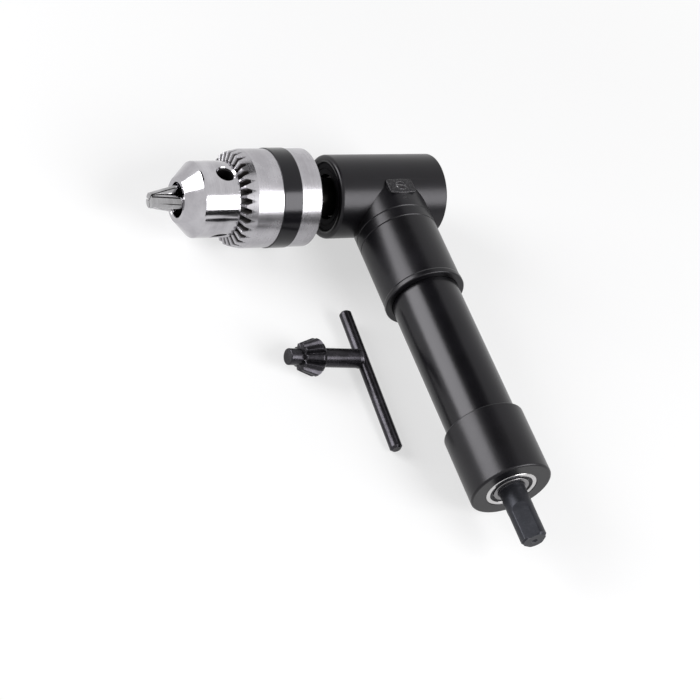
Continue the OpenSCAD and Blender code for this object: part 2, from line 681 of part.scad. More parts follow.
// A blind key hole along local z, with a chamfered mouth
module key_hole() {
    turned([
        [0, nose_r - key_hole_depth - key_hole_r / 3], [key_hole_r, nose_r - key_hole_depth],
        [key_hole_r, nose_r - 2 * key_hole_chamfer], [key_hole_r + 3 * key_hole_chamfer, nose_r + key_hole_chamfer],
        [key_hole_r + 3 * key_hole_chamfer, nose_r + overrun], [0, nose_r + overrun]
    ]);
}
module chuck_screw() {
    seat = thread_depth + web_t;
    color("#4a4a4c") on_chuck() difference() {
        turned([[0, thread_depth / 2], [screw_r, thread_depth / 2], [screw_r, seat], [screw_head_r, seat],
            [screw_head_r, seat + screw_head_h], [0, seat + screw_head_h]]);
        translate([0, 0, seat + screw_head_h / 2]) cylinder(r = screw_r * 0.9, h = screw_head_h, $fn = 6);
    }
}
module chuck_sleeve() {
    front_z = key_z - crest_share * front_bore_r;
    seat_end = groove_end + face_gap;
    color("#c9c9cb") on_chuck() difference() {
        turned(concat(
            [[nut_r + press_gap, groove_z], [cavity_r, groove_z], [cavity_r, 0]],
            [[sleeve_r - rear_round, 0]],
            arc([sleeve_r - rear_round, rear_round], rear_round, rear_round, 270, 360),
            [[sleeve_r, band_z], [sleeve_r - band_groove, band_z], [sleeve_r - band_groove, band_z + band_w],
            [sleeve_r, band_z + band_w], [sleeve_r, ring_z - sleeve_taper], [ring_r, ring_z],
            [front_bore_r, front_z], [front_bore_r, seat_end], [nut_r + press_gap, seat_end]]
        ));
        translate([0, 0, key_z]) rotate([180, 0, 0])
            tooth_gaps(ring_teeth, root_angle, ring_half_angle, front_bore_r - overrun,
                sleeve_r / sin(root_angle) + overrun, sleeve_r * sin(crest_angle - root_angle) + overrun / 2,
                -ring_turn);
    }
}
module chuck_band() {
    color("#17171a") on_chuck() turned([
        [sleeve_r - band_groove + press_gap, band_z], [band_r - line_break, band_z],
        [band_r, band_z + line_break], [band_r, band_z + band_w - line_break],
        [band_r - line_break, band_z + band_w], [sleeve_r - band_groove + press_gap, band_z + band_w]
    ]);
}
module nut_half(side) {
    color("#a89a6a") on_chuck() intersection() {
        turned([[nut_bore(nut_z), nut_z], [nut_r, nut_z], [nut_r, nut_z + nut_len],
            [nut_bore(nut_z + nut_len), nut_z + nut_len]]);
        rotate([0, 0, side]) translate([-sleeve_r, nut_split / 2, 0])
            cube([2 * sleeve_r, sleeve_r, nut_z + nut_len + overrun]);
    }
}
module nut_half_a() nut_half(0);
module nut_half_b() nut_half(180);
module jaw(number) {
    rear = [jaw_tip_off + jaw_len * tan(jaw_tilt), 0, jaw_grip];
    wedge = jaw_outer(jaw_grip) + overrun;
    teeth = floor((jaw_travel + nut_len / 2) / rack_pitch);
    color("#8c8a88") on_chuck() rotate([0, 0, jaw_turn + (number - 1) * 360 / jaws]) difference() {
        intersection() {
            jaw_rod(jaw_r, jaw_grip, jaw_tip_z + overrun);
            linear_extrude(jaw_tip_z) polygon([[grip_edge, 0], [grip_edge + wedge, -wedge * tan(180 / jaws)],
                [grip_edge + wedge, wedge * tan(180 / jaws)]]);
        }
        // Rack teeth cut straight across the jaw's outer side, in line with the nut's thread
        translate(rear) rotate([0, -jaw_tilt, 0]) for (i = [1:teeth])
            translate([jaw_r - rack_depth, 0, i * rack_pitch]) rotate([90, 0, 0])
                translate([0, 0, -jaw_r]) linear_extrude(2 * jaw_r)
                    polygon([[0, 0], [rack_pitch, -rack_pitch / 2], [rack_pitch, rack_pitch / 2]]);
    }
}
module jaw_1() jaw(1);
module jaw_2() jaw(2);
module jaw_3() jaw(3);

// Chuck key, lying beside the tool
module on_key() {
    translate([crossing[0] + key_bar_x, crossing[1] + key_bar_y + key_stem_at, key_height])
        rotate([0, 90 - key_lean, 0]) rotate([0, 0, -key_roll]) children();
}
module key_body() {
    back_r = (3 * key_stem_r + key_big_r) / 4;
    front_r = key_tip_share * (key_apex - key_front);
    front_cut = front_r / 8;
    root = atan(key_root_share);
    tip = atan(key_tip_share);
    reach = key_apex - key_teeth_at;
    color("#2b2a2c") on_key() difference() {
        turned(concat(
            [[0, -key_tail], [key_end_r, -key_tail], [key_stem_r, key_flare_at], [key_stem_r, key_teeth_at]],
            arc([back_r, key_big_at], key_big_r - back_r, key_back, 270, 360),
            [[front_r, key_front - front_cut], [front_r - front_cut, key_front], [key_pilot_r, key_front],
            [key_pilot_r, key_front + key_pilot_len - key_pilot_r / 8],
            [key_pilot_r - key_pilot_r / 8, key_front + key_pilot_len], [0, key_front + key_pilot_len]]
        ));
        translate([0, 0, key_apex]) rotate([180, 0, 0])
            tooth_gaps(key_teeth, root, key_half_angle, nose_r - overrun, reach / cos(root) + overrun,
                reach * sin(tip - root) + overrun, 180 / key_teeth);
        rotate([90, 0, 0]) translate([0, 0, -key_big_r])
            cylinder(r = key_bar_r + press_gap, h = 2 * key_big_r, $fn = round_fn);
    }
}
module key_bar() {
    chamfer = key_bar_r / 3;
    color("#29282a") on_key() rotate([-90, 0, 0]) translate([0, 0, -key_stem_at]) turned([
        [0, 0], [key_bar_r - chamfer, 0], [key_bar_r, chamfer], [key_bar_r, key_bar_len - chamfer],
        [key_bar_r - chamfer, key_bar_len], [0, key_bar_len]
    ]);
}

head_housing();
retainer_ring();
grease_screw();
thrust_washer();
rear_bush();
lock_ring();
neck_sleeve();
grip_tube();
end_collar();
front_bearing_outer();
front_bearing_balls();
front_bearing_inner();
pinion_bearing_outer();
pinion_bearing_balls();
pinion_bearing_inner();
end_bearing_outer();
end_bearing_balls();
end_bearing_inner();
end_bearing_shield();
spindle();
spindle_gear();
spindle_circlip();
input_shaft();
input_pinion();
pinion_circlip();
end_circlip();
chuck_body();
chuck_screw();
chuck_sleeve();
chuck_band();
nut_half_a();
nut_half_b();
jaw_1();
jaw_2();
jaw_3();
key_body();
key_bar();
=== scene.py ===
"""Right angle drill attachment with its keyed chuck and chuck key, dressed for a studio picture."""

import logging
import math
from dataclasses import dataclass
from enum import Enum, IntEnum
from typing import Callable, Iterable, Sequence

import bmesh
import bpy
from mathutils import Matrix, Quaternion, Vector


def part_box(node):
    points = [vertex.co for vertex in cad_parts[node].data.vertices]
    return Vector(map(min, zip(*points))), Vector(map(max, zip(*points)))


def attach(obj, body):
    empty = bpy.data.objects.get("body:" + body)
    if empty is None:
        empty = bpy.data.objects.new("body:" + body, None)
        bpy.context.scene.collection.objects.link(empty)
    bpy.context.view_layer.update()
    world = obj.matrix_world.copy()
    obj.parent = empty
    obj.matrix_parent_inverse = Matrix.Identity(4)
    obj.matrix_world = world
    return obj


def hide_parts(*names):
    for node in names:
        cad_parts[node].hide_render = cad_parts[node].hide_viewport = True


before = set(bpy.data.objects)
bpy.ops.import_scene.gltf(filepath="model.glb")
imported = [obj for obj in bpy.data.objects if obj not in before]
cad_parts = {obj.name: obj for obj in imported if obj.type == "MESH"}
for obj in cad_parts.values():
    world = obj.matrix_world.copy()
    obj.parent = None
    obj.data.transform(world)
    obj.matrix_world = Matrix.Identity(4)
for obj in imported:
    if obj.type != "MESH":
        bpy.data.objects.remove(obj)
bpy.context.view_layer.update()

MM = 0.001
FULL_TURN = 2 * math.pi
QUARTER_TURN = math.pi / 2
THIRD_TURN = FULL_TURN / 3
SHARP_ANGLE = math.radians(32)
MERGE_DISTANCE = 1e-7
JOIN_DISTANCE = 2e-6
PRESS_GAP = 0.02
LOG = logging.getLogger("drill_attachment")

Point = tuple[float, float]
Range = tuple[float, float]
Place = tuple[float, float, float]
Colour = tuple[float, float, float]


# Shader tools


@dataclass(frozen=True)
class Cloud:
    """A noise pattern: its features per metre, its octaves, and how strong the finer ones are."""

    scale: float
    detail: float = 3.0
    rough: float = 0.5


class Value:
    """A shader value that Python's operators can work on."""

    def __init__(self, graph: "Graph", socket: bpy.types.NodeSocket) -> None:
        """Wraps an output socket of a graph."""
        self.graph = graph
        self.socket = socket

    def _math(self, operation: str, *others: "float | Value") -> "Value":
        """A Math node's result on this value and the others."""
        return self.graph.node("ShaderNodeMath", {"operation": operation}, dict(enumerate((self, *others))))

    def __add__(self, other: "float | Value") -> "Value":
        """The sum of two values."""
        return self._math("ADD", other)

    def __sub__(self, other: "float | Value") -> "Value":
        """The difference of two values."""
        return self._math("SUBTRACT", other)

    def __rsub__(self, other: "float | Value") -> "Value":
        """A number less this value."""
        return self * -1.0 + other

    def __mul__(self, other: "float | Value") -> "Value":
        """The product of two values."""
        return self._math("MULTIPLY", other)

    def __truediv__(self, other: "float | Value") -> "Value":
        """This value divided by another."""
        return self._math("DIVIDE", other)

    def root(self) -> "Value":
        """The square root of this value."""
        return self._math("SQRT")

    def most(self, other: "float | Value") -> "Value":
        """The larger of two values."""
        return self._math("MAXIMUM", other)

    def blend(self, other: "Value", share: float) -> "Value":
        """This value and a share of another, as one."""
        return self * (1 - share) + other * share

    def ramp(self, low: float, high: float, out_low: float = 0.0, out_high: float = 1.0) -> "Value":
        """This value carried from low and high to out_low and out_high, and kept between them."""
        inputs = {"Value": self, "From Min": low, "From Max": high, "To Min": out_low, "To Max": out_high}
        return self.graph.node("ShaderNodeMapRange", {"clamp": True}, inputs)


class Graph:
    """The node graph of a material or a world."""

    BEVEL_SAMPLES = 6
    EDGE_RANGE = (0.99, 0.87)

    def __init__(self, owner: bpy.types.Material | bpy.types.World, shader: str) -> None:
        """Starts the graph.

        Args:
            owner: The new material or world.
            shader: The name of its main shader node.
        """
        owner.use_nodes = True
        self.owner = owner
        self.tree = owner.node_tree
        self.shader = self.tree.nodes[shader]

    def node(self, kind: str, settings: dict[str, object], inputs: dict[object, object],
             output: int | str = 0) -> Value:
        """Adds one node of any type.

        Args:
            kind: The node's type.
            settings: Its settings, which are set first.
            inputs: Its sockets' numbers, tuples or values, by name or index.
            output: The output that is wanted.

        Returns:
            The output as a value.
        """
        made = self.tree.nodes.new(kind)
        for name, setting in settings.items():
            setattr(made, name, setting)
        for key, value in inputs.items():
            self.plug(made.inputs[key], value)
        return Value(self, made.outputs[output])

    def plug(self, socket: bpy.types.NodeSocket, value: object) -> None:
        """Links a value to a socket, or sets the socket's own number.

        Args:
            socket: The input socket.
            value: The value, number or tuple.
        """
        if isinstance(value, Value):
            self.tree.links.new(value.socket, socket)
        else:
            socket.default_value = value

    def set(self, name: str, value: object) -> None:
        """Sets or links one socket of the main shader."""
        self.plug(self.shader.inputs[name], value)

    def place(self) -> Value:
        """Object coordinates, which are the row frame's metres on every piece."""
        return self.node("ShaderNodeTexCoord", {}, {}, "Object")

    def ray(self, kind: str) -> Value:
        """1 on one kind of ray, 0 on the others."""
        return self.node("ShaderNodeLightPath", {}, {}, kind)

    def vector(self, operation: str, *vectors: object, output: str = "Value") -> Value:
        """A Vector Math node's result, which is a number unless the output Vector is asked for."""
        return self.node("ShaderNodeVectorMath", {"operation": operation}, dict(enumerate(vectors)), output)

    def split(self, vector: Value) -> tuple[Value, Value, Value]:
        """The three parts of a vector."""
        node = self.node("ShaderNodeSeparateXYZ", {}, {0: vector}).socket.node
        return tuple(Value(self, node.outputs[index]) for index in range(3))

    def join(self, x: "float | Value", y: "float | Value", z: "float | Value") -> Value:
        """A vector made of three values."""
        return self.node("ShaderNodeCombineXYZ", {}, {0: x, 1: y, 2: z})

    def noise(self, vector: Value, cloud: Cloud) -> Value:
        """A noise pattern's value at a place in metres, from 0 to 1."""
        inputs = {"Vector": vector, "Scale": cloud.scale, "Detail": cloud.detail, "Roughness": cloud.rough}
        return self.node("ShaderNodeTexNoise", {}, inputs)

    def edge(self, width: float) -> Value:
        """How near a point lies to a sharp edge.

        Args:
            width: The width of the zone beside the edge, in metres.

        Returns:
            0 on open faces, 1 on the edge.
        """
        rounded = self.node("ShaderNodeBevel", {"samples": self.BEVEL_SAMPLES}, {"Radius": width})
        plain = self.node("ShaderNodeNewGeometry", {}, {}, "Normal")
        return self.vector("DOT_PRODUCT", rounded, plain).ramp(*self.EDGE_RANGE)

    def mix(self, share: "float | Value", first: "Colour | Value", second: "Colour | Value") -> Value:
        """A colour between two colours.

        Args:
            share: 0 for the first colour, 1 for the second.
            first: The first colour.
            second: The second colour.

        Returns:
            The mixed colour.
        """
        made = self.tree.nodes.new("ShaderNodeMix")
        made.data_type = "RGBA"
        self.plug(made.inputs[0], share)
        for socket, colour in ((made.inputs[6], first), (made.inputs[7], second)):
            self.plug(socket, colour if isinstance(colour, Value) else (*colour, 1.0))
        return Value(self, made.outputs[2])

    def bump(self, height: Value, depth: float) -> None:
        """Feeds the shader's normal with a height from 0 to 1, in shares of a depth in metres."""
        inputs = {"Height": height, "Distance": depth, "Strength": 1.0}
        self.set("Normal", self.node("ShaderNodeBump", {}, inputs))


# Places


@dataclass(frozen=True)
class Axis:
    """A straight axis: points are given by radius, turn and place along it."""

    origin: Vector
    along: Vector
    zero: Vector

    @property
    def side(self) -> Vector:
        """The direction a quarter turn on from zero."""
        return self.along.cross(self.zero)

    def point(self, radius: float, turn: float, place: float) -> Vector:
        """The point at a radius and a place along the axis, in metres, and at a turn in radians."""
        out = self.zero * math.cos(turn) + self.side * math.sin(turn)
        return self.origin + self.along * place + out * radius

    def out(self, turn: float) -> Vector:
        """The direction away from the axis at a turn."""
        return self.point(1.0, turn, 0.0) - self.origin

    def shifted(self, place: float) -> "Axis":
        """The same axis with its origin moved along it."""
        return Axis(self.origin + self.along * place, self.along, self.zero)

    def _offset(self, graph: Graph) -> Value:
        """A shaded point's vector from the axis's origin."""
        return graph.vector("SUBTRACT", graph.place(), tuple(self.origin), output="Vector")

    def place_of(self, graph: Graph) -> Value:
        """A shaded point's place along the axis, in metres."""
        return graph.vector("DOT_PRODUCT", self._offset(graph), tuple(self.along))

    def radius_of(self, graph: Graph) -> Value:
        """A shaded point's distance from the axis, in metres."""
        length, along = graph.vector("LENGTH", self._offset(graph)), self.place_of(graph)
        return (length * length - along * along).ramp(0.0, 1.0).root()


def middle(node: str) -> Vector:
    """The middle of a CAD node's box."""
    low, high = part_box(node)
    return (Vector(low) + Vector(high)) / 2


def ends(node: str, index: int) -> tuple[float, float]:
    """Where a CAD node starts and ends along row axis 0, 1 or 2, in metres."""
    low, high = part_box(node)
    return low[index], high[index]


def reach(node: str, index: int) -> float:
    """Half of a CAD node's width along one row axis, in millimetres."""
    low, high = ends(node, index)
    return (high - low) / 2 / MM


CROSSING = Vector((middle("input_shaft").x, middle("chuck_band").y, middle("chuck_band").z))
CHUCK_AXIS = Axis(CROSSING, Vector((1, 0, 0)), Vector((0, 1, 0)))
ARM_AXIS = Axis(CROSSING, Vector((0, 1, 0)), Vector((0, 0, 1)))


def span(node: str, index: int) -> tuple[float, float]:
    """Where a CAD node starts and ends along row axis 0, 1 or 2, in millimetres from the crossing."""
    return tuple((value - CROSSING[index]) / MM for value in ends(node, index))


# Finishes


class Role(Enum):
    """The finish that each CAD node or new piece wears."""

    ENAMEL = "black_enamel"
    TUBE = "black_tube"
    BAND = "band_black"
    SLEEVE = "bright_steel"
    NOSE = "nose_steel"
    JAW = "jaw_steel"
    OXIDE = "oxide_steel"
    MACHINED = "machined_steel"
    GEAR = "gear_steel"
    RACE = "race_steel"
    SPRING = "spring_steel"
    BRONZE = "bush_bronze"
    SHANK = "shank_steel"
    KEY = "key_steel"
    SCREW = "screw_steel"
    GREASED = "greased_steel"
    HEAD = "head_enamel"
    RECESS = "recess_enamel"

    @property
    def slot(self) -> str:
        """The record's material slot that the finish belongs to."""
        shared = {Role.SHANK: Role.OXIDE, Role.KEY: Role.OXIDE, Role.SCREW: Role.OXIDE,
                  Role.GREASED: Role.RACE, Role.HEAD: Role.ENAMEL, Role.RECESS: Role.ENAMEL}
        return shared.get(self, self).value


class Finish:
    """A finish, which paints the graph of a new material."""

    def paint(self, graph: Graph) -> None:
        """Sets the shader's inputs."""
        raise NotImplementedError

    def build(self, name: str) -> bpy.types.Material:
        """Makes the material.

        Args:
            name: The material's name.

        Returns:
            The material.
        """
        graph = Graph(bpy.data.materials.new(name), "Principled BSDF")
        self.paint(graph)
        return graph.owner


@dataclass(frozen=True)
class Enamel(Finish):
    """Gloss black enamel, with a slight orange peel, a faint bloom, and lighter worn edges that are partly a
    painted edge highlight.
    """

    colour: Colour = (0.0022, 0.002, 0.0026)
    bloom: Colour = (0.0045, 0.0042, 0.0056)
    bloom_range: Range = (0.35, 0.75)
    worn: Colour = (0.09, 0.086, 0.095)
    rough: float = 0.24
    rough_spread: float = 0.09
    specular: float = 0.3
    tint: Colour = (0.97, 0.95, 1.0)
    cloud: Cloud = Cloud(60.0, 4.0, 0.6)
    peel: Cloud = Cloud(900.0, 2.0)
    peel_depth: float = 0.000008
    wear_and_highlight_width: float = 0.00022
    wear_and_highlight_range: Range = (0.56, 0.7)

    def wear_and_highlight_share(self, graph: Graph, cloud: Value) -> Value:
        """How much of the paint is worn through along sharp edges, from 0 to 1, at the paint's slow noise;
        the lighter edge is partly a painted highlight.
        """
        return graph.edge(self.wear_and_highlight_width) * cloud.ramp(*self.wear_and_highlight_range)

    def dulled(self, graph: Graph) -> Value | float:
        """What is added to the roughness at dull places."""
        return 0.0

    def paint(self, graph: Graph) -> None:
        """Sets the shader's inputs.

        Args:
            graph: The material's graph.
        """
        place = graph.place()
        cloud = graph.noise(place, self.cloud)
        fine = graph.noise(place, self.peel)
        whole = graph.mix(cloud.ramp(*self.bloom_range), self.colour, self.bloom)
        # Lighter colour along sharp edges: worn paint and a painted edge highlight.
        graph.set("Base Color", graph.mix(self.wear_and_highlight_share(graph, cloud), whole, self.worn))
        gloss = cloud * self.rough_spread + fine * (self.rough_spread / 2) + self.rough
        graph.set("Roughness", gloss + self.dulled(graph))
        graph.set("Specular IOR Level", self.specular)
        graph.set("Specular Tint", (*self.tint, 1.0))
        graph.bump(fine, self.peel_depth)


@dataclass(frozen=True)
class HeadEnamel(Enamel):
    """The head's enamel: coarse and worn on the pad, whose lighter rim is partly a painted highlight, and
    dull in the front recess.
    """

    pad: Place = (0.0, 0.0, 0.0)
    pad_reach: float = 0.0072
    pad_depth: float = 0.0004
    pad_half: float = 0.0033
    round_fade: float = 0.0005
    top_fade: float = 0.0001
    near_fade: Range = (-0.0003, -0.0001)
    rim_width: float = 0.0005
    calm: float = 0.3
    specks: Cloud = Cloud(2600.0, 3.0, 0.7)
    rim_range: Range = (0.4, 0.55)
    speck_range: Range = (0.5, 0.72)
    speck_share: float = 0.3
    recess_place: float = 0.0
    recess_radius: float = 0.0133
    recess_fade: Range = (0.0004, 0.0005)
    pad_dull: float = 0.22
    recess_dull: float = 0.5

    def on_pad(self, graph: Graph) -> Value:
        """Where the pad's top and rim are.

        Args:
            graph: The material's graph.

        Returns:
            1 on the pad, 0 elsewhere.
        """
        place = graph.place()
        away = graph.vector("DISTANCE", place, self.pad)
        _, forward, height = graph.split(place)
        above = (height - (self.pad[2] - self.pad_depth)).ramp(0.0, self.top_fade)
        near = (forward - (self.pad[1] - self.pad_half)).ramp(*self.near_fade)
        return away.ramp(self.pad_reach, self.pad_reach - self.round_fade) * above * near

    def wear_and_highlight_share(self, graph: Graph, cloud: Value) -> Value:
        """How much of the paint is worn through: more on the pad, with small specks and a lighter rim that is
        partly a painted highlight.

        Args:
            graph: The material's graph.
            cloud: The paint's slow noise.

        Returns:
            0 for whole paint, 1 for none.
        """
        specks = graph.noise(graph.place(), self.specks)
        # The pad's lighter rim: worn paint and a painted highlight.
        rim = graph.edge(self.rim_width) * specks.ramp(*self.rim_range)
        rubbed_and_highlight = self.on_pad(graph) * (rim + specks.ramp(*self.speck_range) * self.speck_share)
        return (Enamel.wear_and_highlight_share(self, graph, cloud) * self.calm + rubbed_and_highlight).ramp(0.0, 1.0)

    def dulled(self, graph: Graph) -> Value:
        """What is added to the roughness on the pad and in the recess.

        Args:
            graph: The material's graph.

        Returns:
            The added roughness.
        """
        fall, rise = self.recess_fade
        inside = CHUCK_AXIS.radius_of(graph).ramp(self.recess_radius, self.recess_radius - fall)
        forward = CHUCK_AXIS.place_of(graph).ramp(self.recess_place, self.recess_place + rise)
        return self.on_pad(graph) * self.pad_dull + inside * forward * self.recess_dull


@dataclass(frozen=True)
class TurnedSteel(Finish):
    """Turned or ground metal, with fine rings round its axis, a painted highlight along sharp edges, and in
    some kinds painted shade in hollows.
    """

    axis: Axis = CHUCK_AXIS
    colour: Colour = (0.50, 0.49, 0.515)
    dark: Colour = (0.36, 0.35, 0.37)
    rough: float = 0.17
    rough_spread: float = 0.13
    fine: Cloud = Cloud(3200.0, 2.0, 0.7)
    coarser: float = 7.0
    coarse_share: float = 0.4
    ring_depth: float = 0.0000012
    smudge: Cloud = Cloud(95.0, 4.0, 0.6)
    smudge_share: float = 0.55
    tone_range: Range = (0.38, 0.66)
    edge_highlight_width: float = 0.0002
    edge_highlight_share: float = 0.7
    edge_highlight_colour: Colour = (0.62, 0.61, 0.63)
    shade_colour: Colour = (0.012, 0.0105, 0.011)
    shade_rough: float = 0.45
    shade_dulls: float = 0.4

    def rings(self, graph: Graph) -> Value:
        """The fine ring lines.

        Args:
            graph: The material's graph.

        Returns:
            Their height, from 0 to 1.
        """
        ringed = self.axis.place_of(graph) + self.axis.radius_of(graph)
        coarse = Cloud(self.fine.scale / self.coarser, self.fine.detail)
        fine_lines = graph.noise(graph.join(ringed, 0.0, 0.0), self.fine)
        return fine_lines.blend(graph.noise(graph.join(ringed, 0.5, 0.0), coarse), self.coarse_share)

    def painted_shade(self, graph: Graph, smudge: Value) -> Value | None:
        """How far a point is darkened by painted shade, from 0 to 1, or nothing for metal without it."""
        return None

    def paint(self, graph: Graph) -> None:
        """Sets the shader's inputs.

        Args:
            graph: The material's graph.
        """
        rings = self.rings(graph)
        smudge = graph.noise(graph.place(), self.smudge)
        tone = rings.blend(smudge, self.smudge_share).ramp(*self.tone_range)
        colour = graph.mix(tone, self.dark, self.colour)
        # Painted highlight: a lighter colour along sharp edges.
        if self.edge_highlight_share:
            colour = graph.mix(graph.edge(self.edge_highlight_width) * self.edge_highlight_share, colour, self.edge_highlight_colour)
        rough = smudge * self.rough_spread + rings * (self.rough_spread / 2) + self.rough
        metallic = 1.0
        # Painted shade: darker, duller colour in hollows and tucked places.
        painted_shade = self.painted_shade(graph, smudge)
        if painted_shade is not None:
            colour = graph.mix(painted_shade, colour, self.shade_colour)
            rough = rough * (1.0 - painted_shade) + painted_shade * self.shade_rough
            metallic = 1.0 - painted_shade * self.shade_dulls
        graph.set("Base Color", colour)
        graph.set("Metallic", metallic)
        graph.set("Roughness", rough)
        graph.bump(rings, self.ring_depth)


@dataclass(frozen=True)
class ToothedSteel(TurnedSteel):
    """Turned metal whose tooth gaps are darkened with painted shade with a brown, greasy tint, found from
    their slope towards the cone's apex.
    """

    apex: float = 0.0
    crest_slope: float = 0.284
    root_slope: float = 0.48
    slope_steps: int = 10
    crest_fade: Range = (0.5, 3.0)
    root_fade: Range = (2.0, 1.0)
    edge_radius: float = 0.0185
    taper_place: float = 0.0
    taper_lean: float = 4.38
    cone_fade: Range = (0.00008, 0.0006)
    patches: Range = (0.4, 0.75)
    edge_highlight_share: float = 0.0
    shade_colour: Colour = (0.016, 0.0125, 0.0115)
    shade_rough: float = 0.5
    shade_dulls: float = 0.5

    def painted_shade(self, graph: Graph, smudge: Value) -> Value:
        """How much painted shade, with a greasy tint, a point takes.

        Args:
            graph: The material's graph.
            smudge: The metal's slow noise.

        Returns:
            0 for clean metal, 1 for full painted shade.
        """
        place, radius = self.axis.place_of(graph), self.axis.radius_of(graph)
        slope = (self.apex - place) / radius
        step = (self.root_slope - self.crest_slope) / self.slope_steps
        depth = slope.ramp(*(self.crest_slope + step * count for count in self.crest_fade))
        behind = slope.ramp(*(self.root_slope + step * count for count in self.root_fade))
        cone = self.edge_radius - (place - self.taper_place) / self.taper_lean
        below = (cone - radius).ramp(*self.cone_fade)
        spread, base = self.patches
        return depth * below * behind * (smudge * spread + base).ramp(0.0, 1.0)


@dataclass(frozen=True)
class BoredSteel(TurnedSteel):
    """Turned metal with painted shade inside its bores, found from their depth under the outside."""

    outside: float = 0.0142
    depth_fade: Range = (0.0005, 0.0016)
    shoulder: float = 0.0
    shoulder_fade: Range = (0.0004, 0.0012)
    ring_edge: float = 0.0
    ring_fade: float = 0.0002

    def painted_shade(self, graph: Graph, smudge: Value) -> Value:
        """How much painted shade a point takes.

        Args:
            graph: The material's graph.
            smudge: The metal's slow noise, which is not used.

        Returns:
            0 outside, 1 deep in a bore or tucked behind the ring gear's edge.
        """
        place = self.axis.place_of(graph)
        deep = (self.outside - self.axis.radius_of(graph)).ramp(*self.depth_fade)
        behind = place.ramp(*(self.shoulder - fade for fade in self.shoulder_fade))
        tucked = place.ramp(self.ring_edge + self.ring_fade, self.ring_edge)
        return (deep * behind + tucked).ramp(0.0, 1.0)


@dataclass(frozen=True)
class BlackOxide(Finish):
    """Blued steel: dark, slightly brown, with fine tool marks, and worn spots along edges that are partly a
    painted edge highlight.
    """

    colour: Colour = (0.014, 0.013, 0.0155)
    worn: Colour = (0.03, 0.028, 0.033)
    worn_range: Range = (0.42, 0.75)
    bright: Colour = (0.28, 0.27, 0.29)
    bright_range: Range = (0.35, 0.6)
    rough: float = 0.26
    rough_spread: float = 0.16
    specular: float = 0.25
    metallic: float = 0.8
    cloud: Cloud = Cloud(170.0, 5.0, 0.65)
    marks: Cloud = Cloud(1500.0, 3.0, 0.6)
    marks_share: float = 0.4
    mark_depth: float = 0.000003
    wear_and_highlight_width: float = 0.00022
    wear_and_highlight: float = 0.6

    def paint(self, graph: Graph) -> None:
        """Sets the shader's inputs.

        Args:
            graph: The material's graph.
        """
        place = graph.place()
        cloud = graph.noise(place, self.cloud)
        marks = graph.noise(place, self.marks)
        blued = graph.mix(cloud.blend(marks, self.marks_share).ramp(*self.worn_range), self.colour, self.worn)
        # Lighter colour along sharp edges: worn metal and a painted edge highlight.
        rubbed_and_highlight = graph.edge(self.wear_and_highlight_width) * cloud.ramp(*self.bright_range) * self.wear_and_highlight
        graph.set("Base Color", graph.mix(rubbed_and_highlight, blued, self.bright))
        graph.set("Metallic", self.metallic)
        graph.set("Specular IOR Level", self.specular)
        graph.set("Roughness", cloud * self.rough_spread + marks * (self.rough_spread / 3) + self.rough)
        graph.bump(marks, self.mark_depth)


@dataclass(frozen=True)
class Matt(Finish):
    """A dull studio surface, with a faint cloud in its colour."""

    colour: Colour
    second: Colour
    rough: float
    cloud: Cloud
    specular: float = 0.5
    rough_spread: float = 0.1

    def paint(self, graph: Graph) -> None:
        """Sets the shader's inputs.

        Args:
            graph: The material's graph.
        """
        cloud = graph.noise(graph.place(), self.cloud)
        graph.set("Base Color", graph.mix(cloud, self.colour, self.second))
        graph.set("Roughness", cloud * self.rough_spread + self.rough)
        graph.set("Specular IOR Level", self.specular)


@dataclass(frozen=True)
class FloorWhite(Matt):
    """A pale floor that shows white to the eye and in reflections, apart from the object's soft shadow."""

    glow: float = 0.6
    glow_range: Range = (0.14, 0.45)

    def paint(self, graph: Graph) -> None:
        """Sets the shader's inputs, and mixes the shader with plain white.

        Args:
            graph: The material's graph.
        """
        Matt.paint(self, graph)
        white = graph.node("ShaderNodeEmission", {}, {"Color": (1.0, 1.0, 1.0, 1.0), "Strength": 1.0})
        lit = Value(graph, graph.shader.outputs[0])
        away = graph.vector("LENGTH", graph.place()).ramp(*self.glow_range, self.glow, 1.0)
        share = (graph.ray("Is Camera Ray") + graph.ray("Is Glossy Ray")) * away
        look = graph.node("ShaderNodeMixShader", {}, {0: share, 1: lit, 2: white})
        graph.plug(graph.tree.nodes["Material Output"].inputs["Surface"], look)


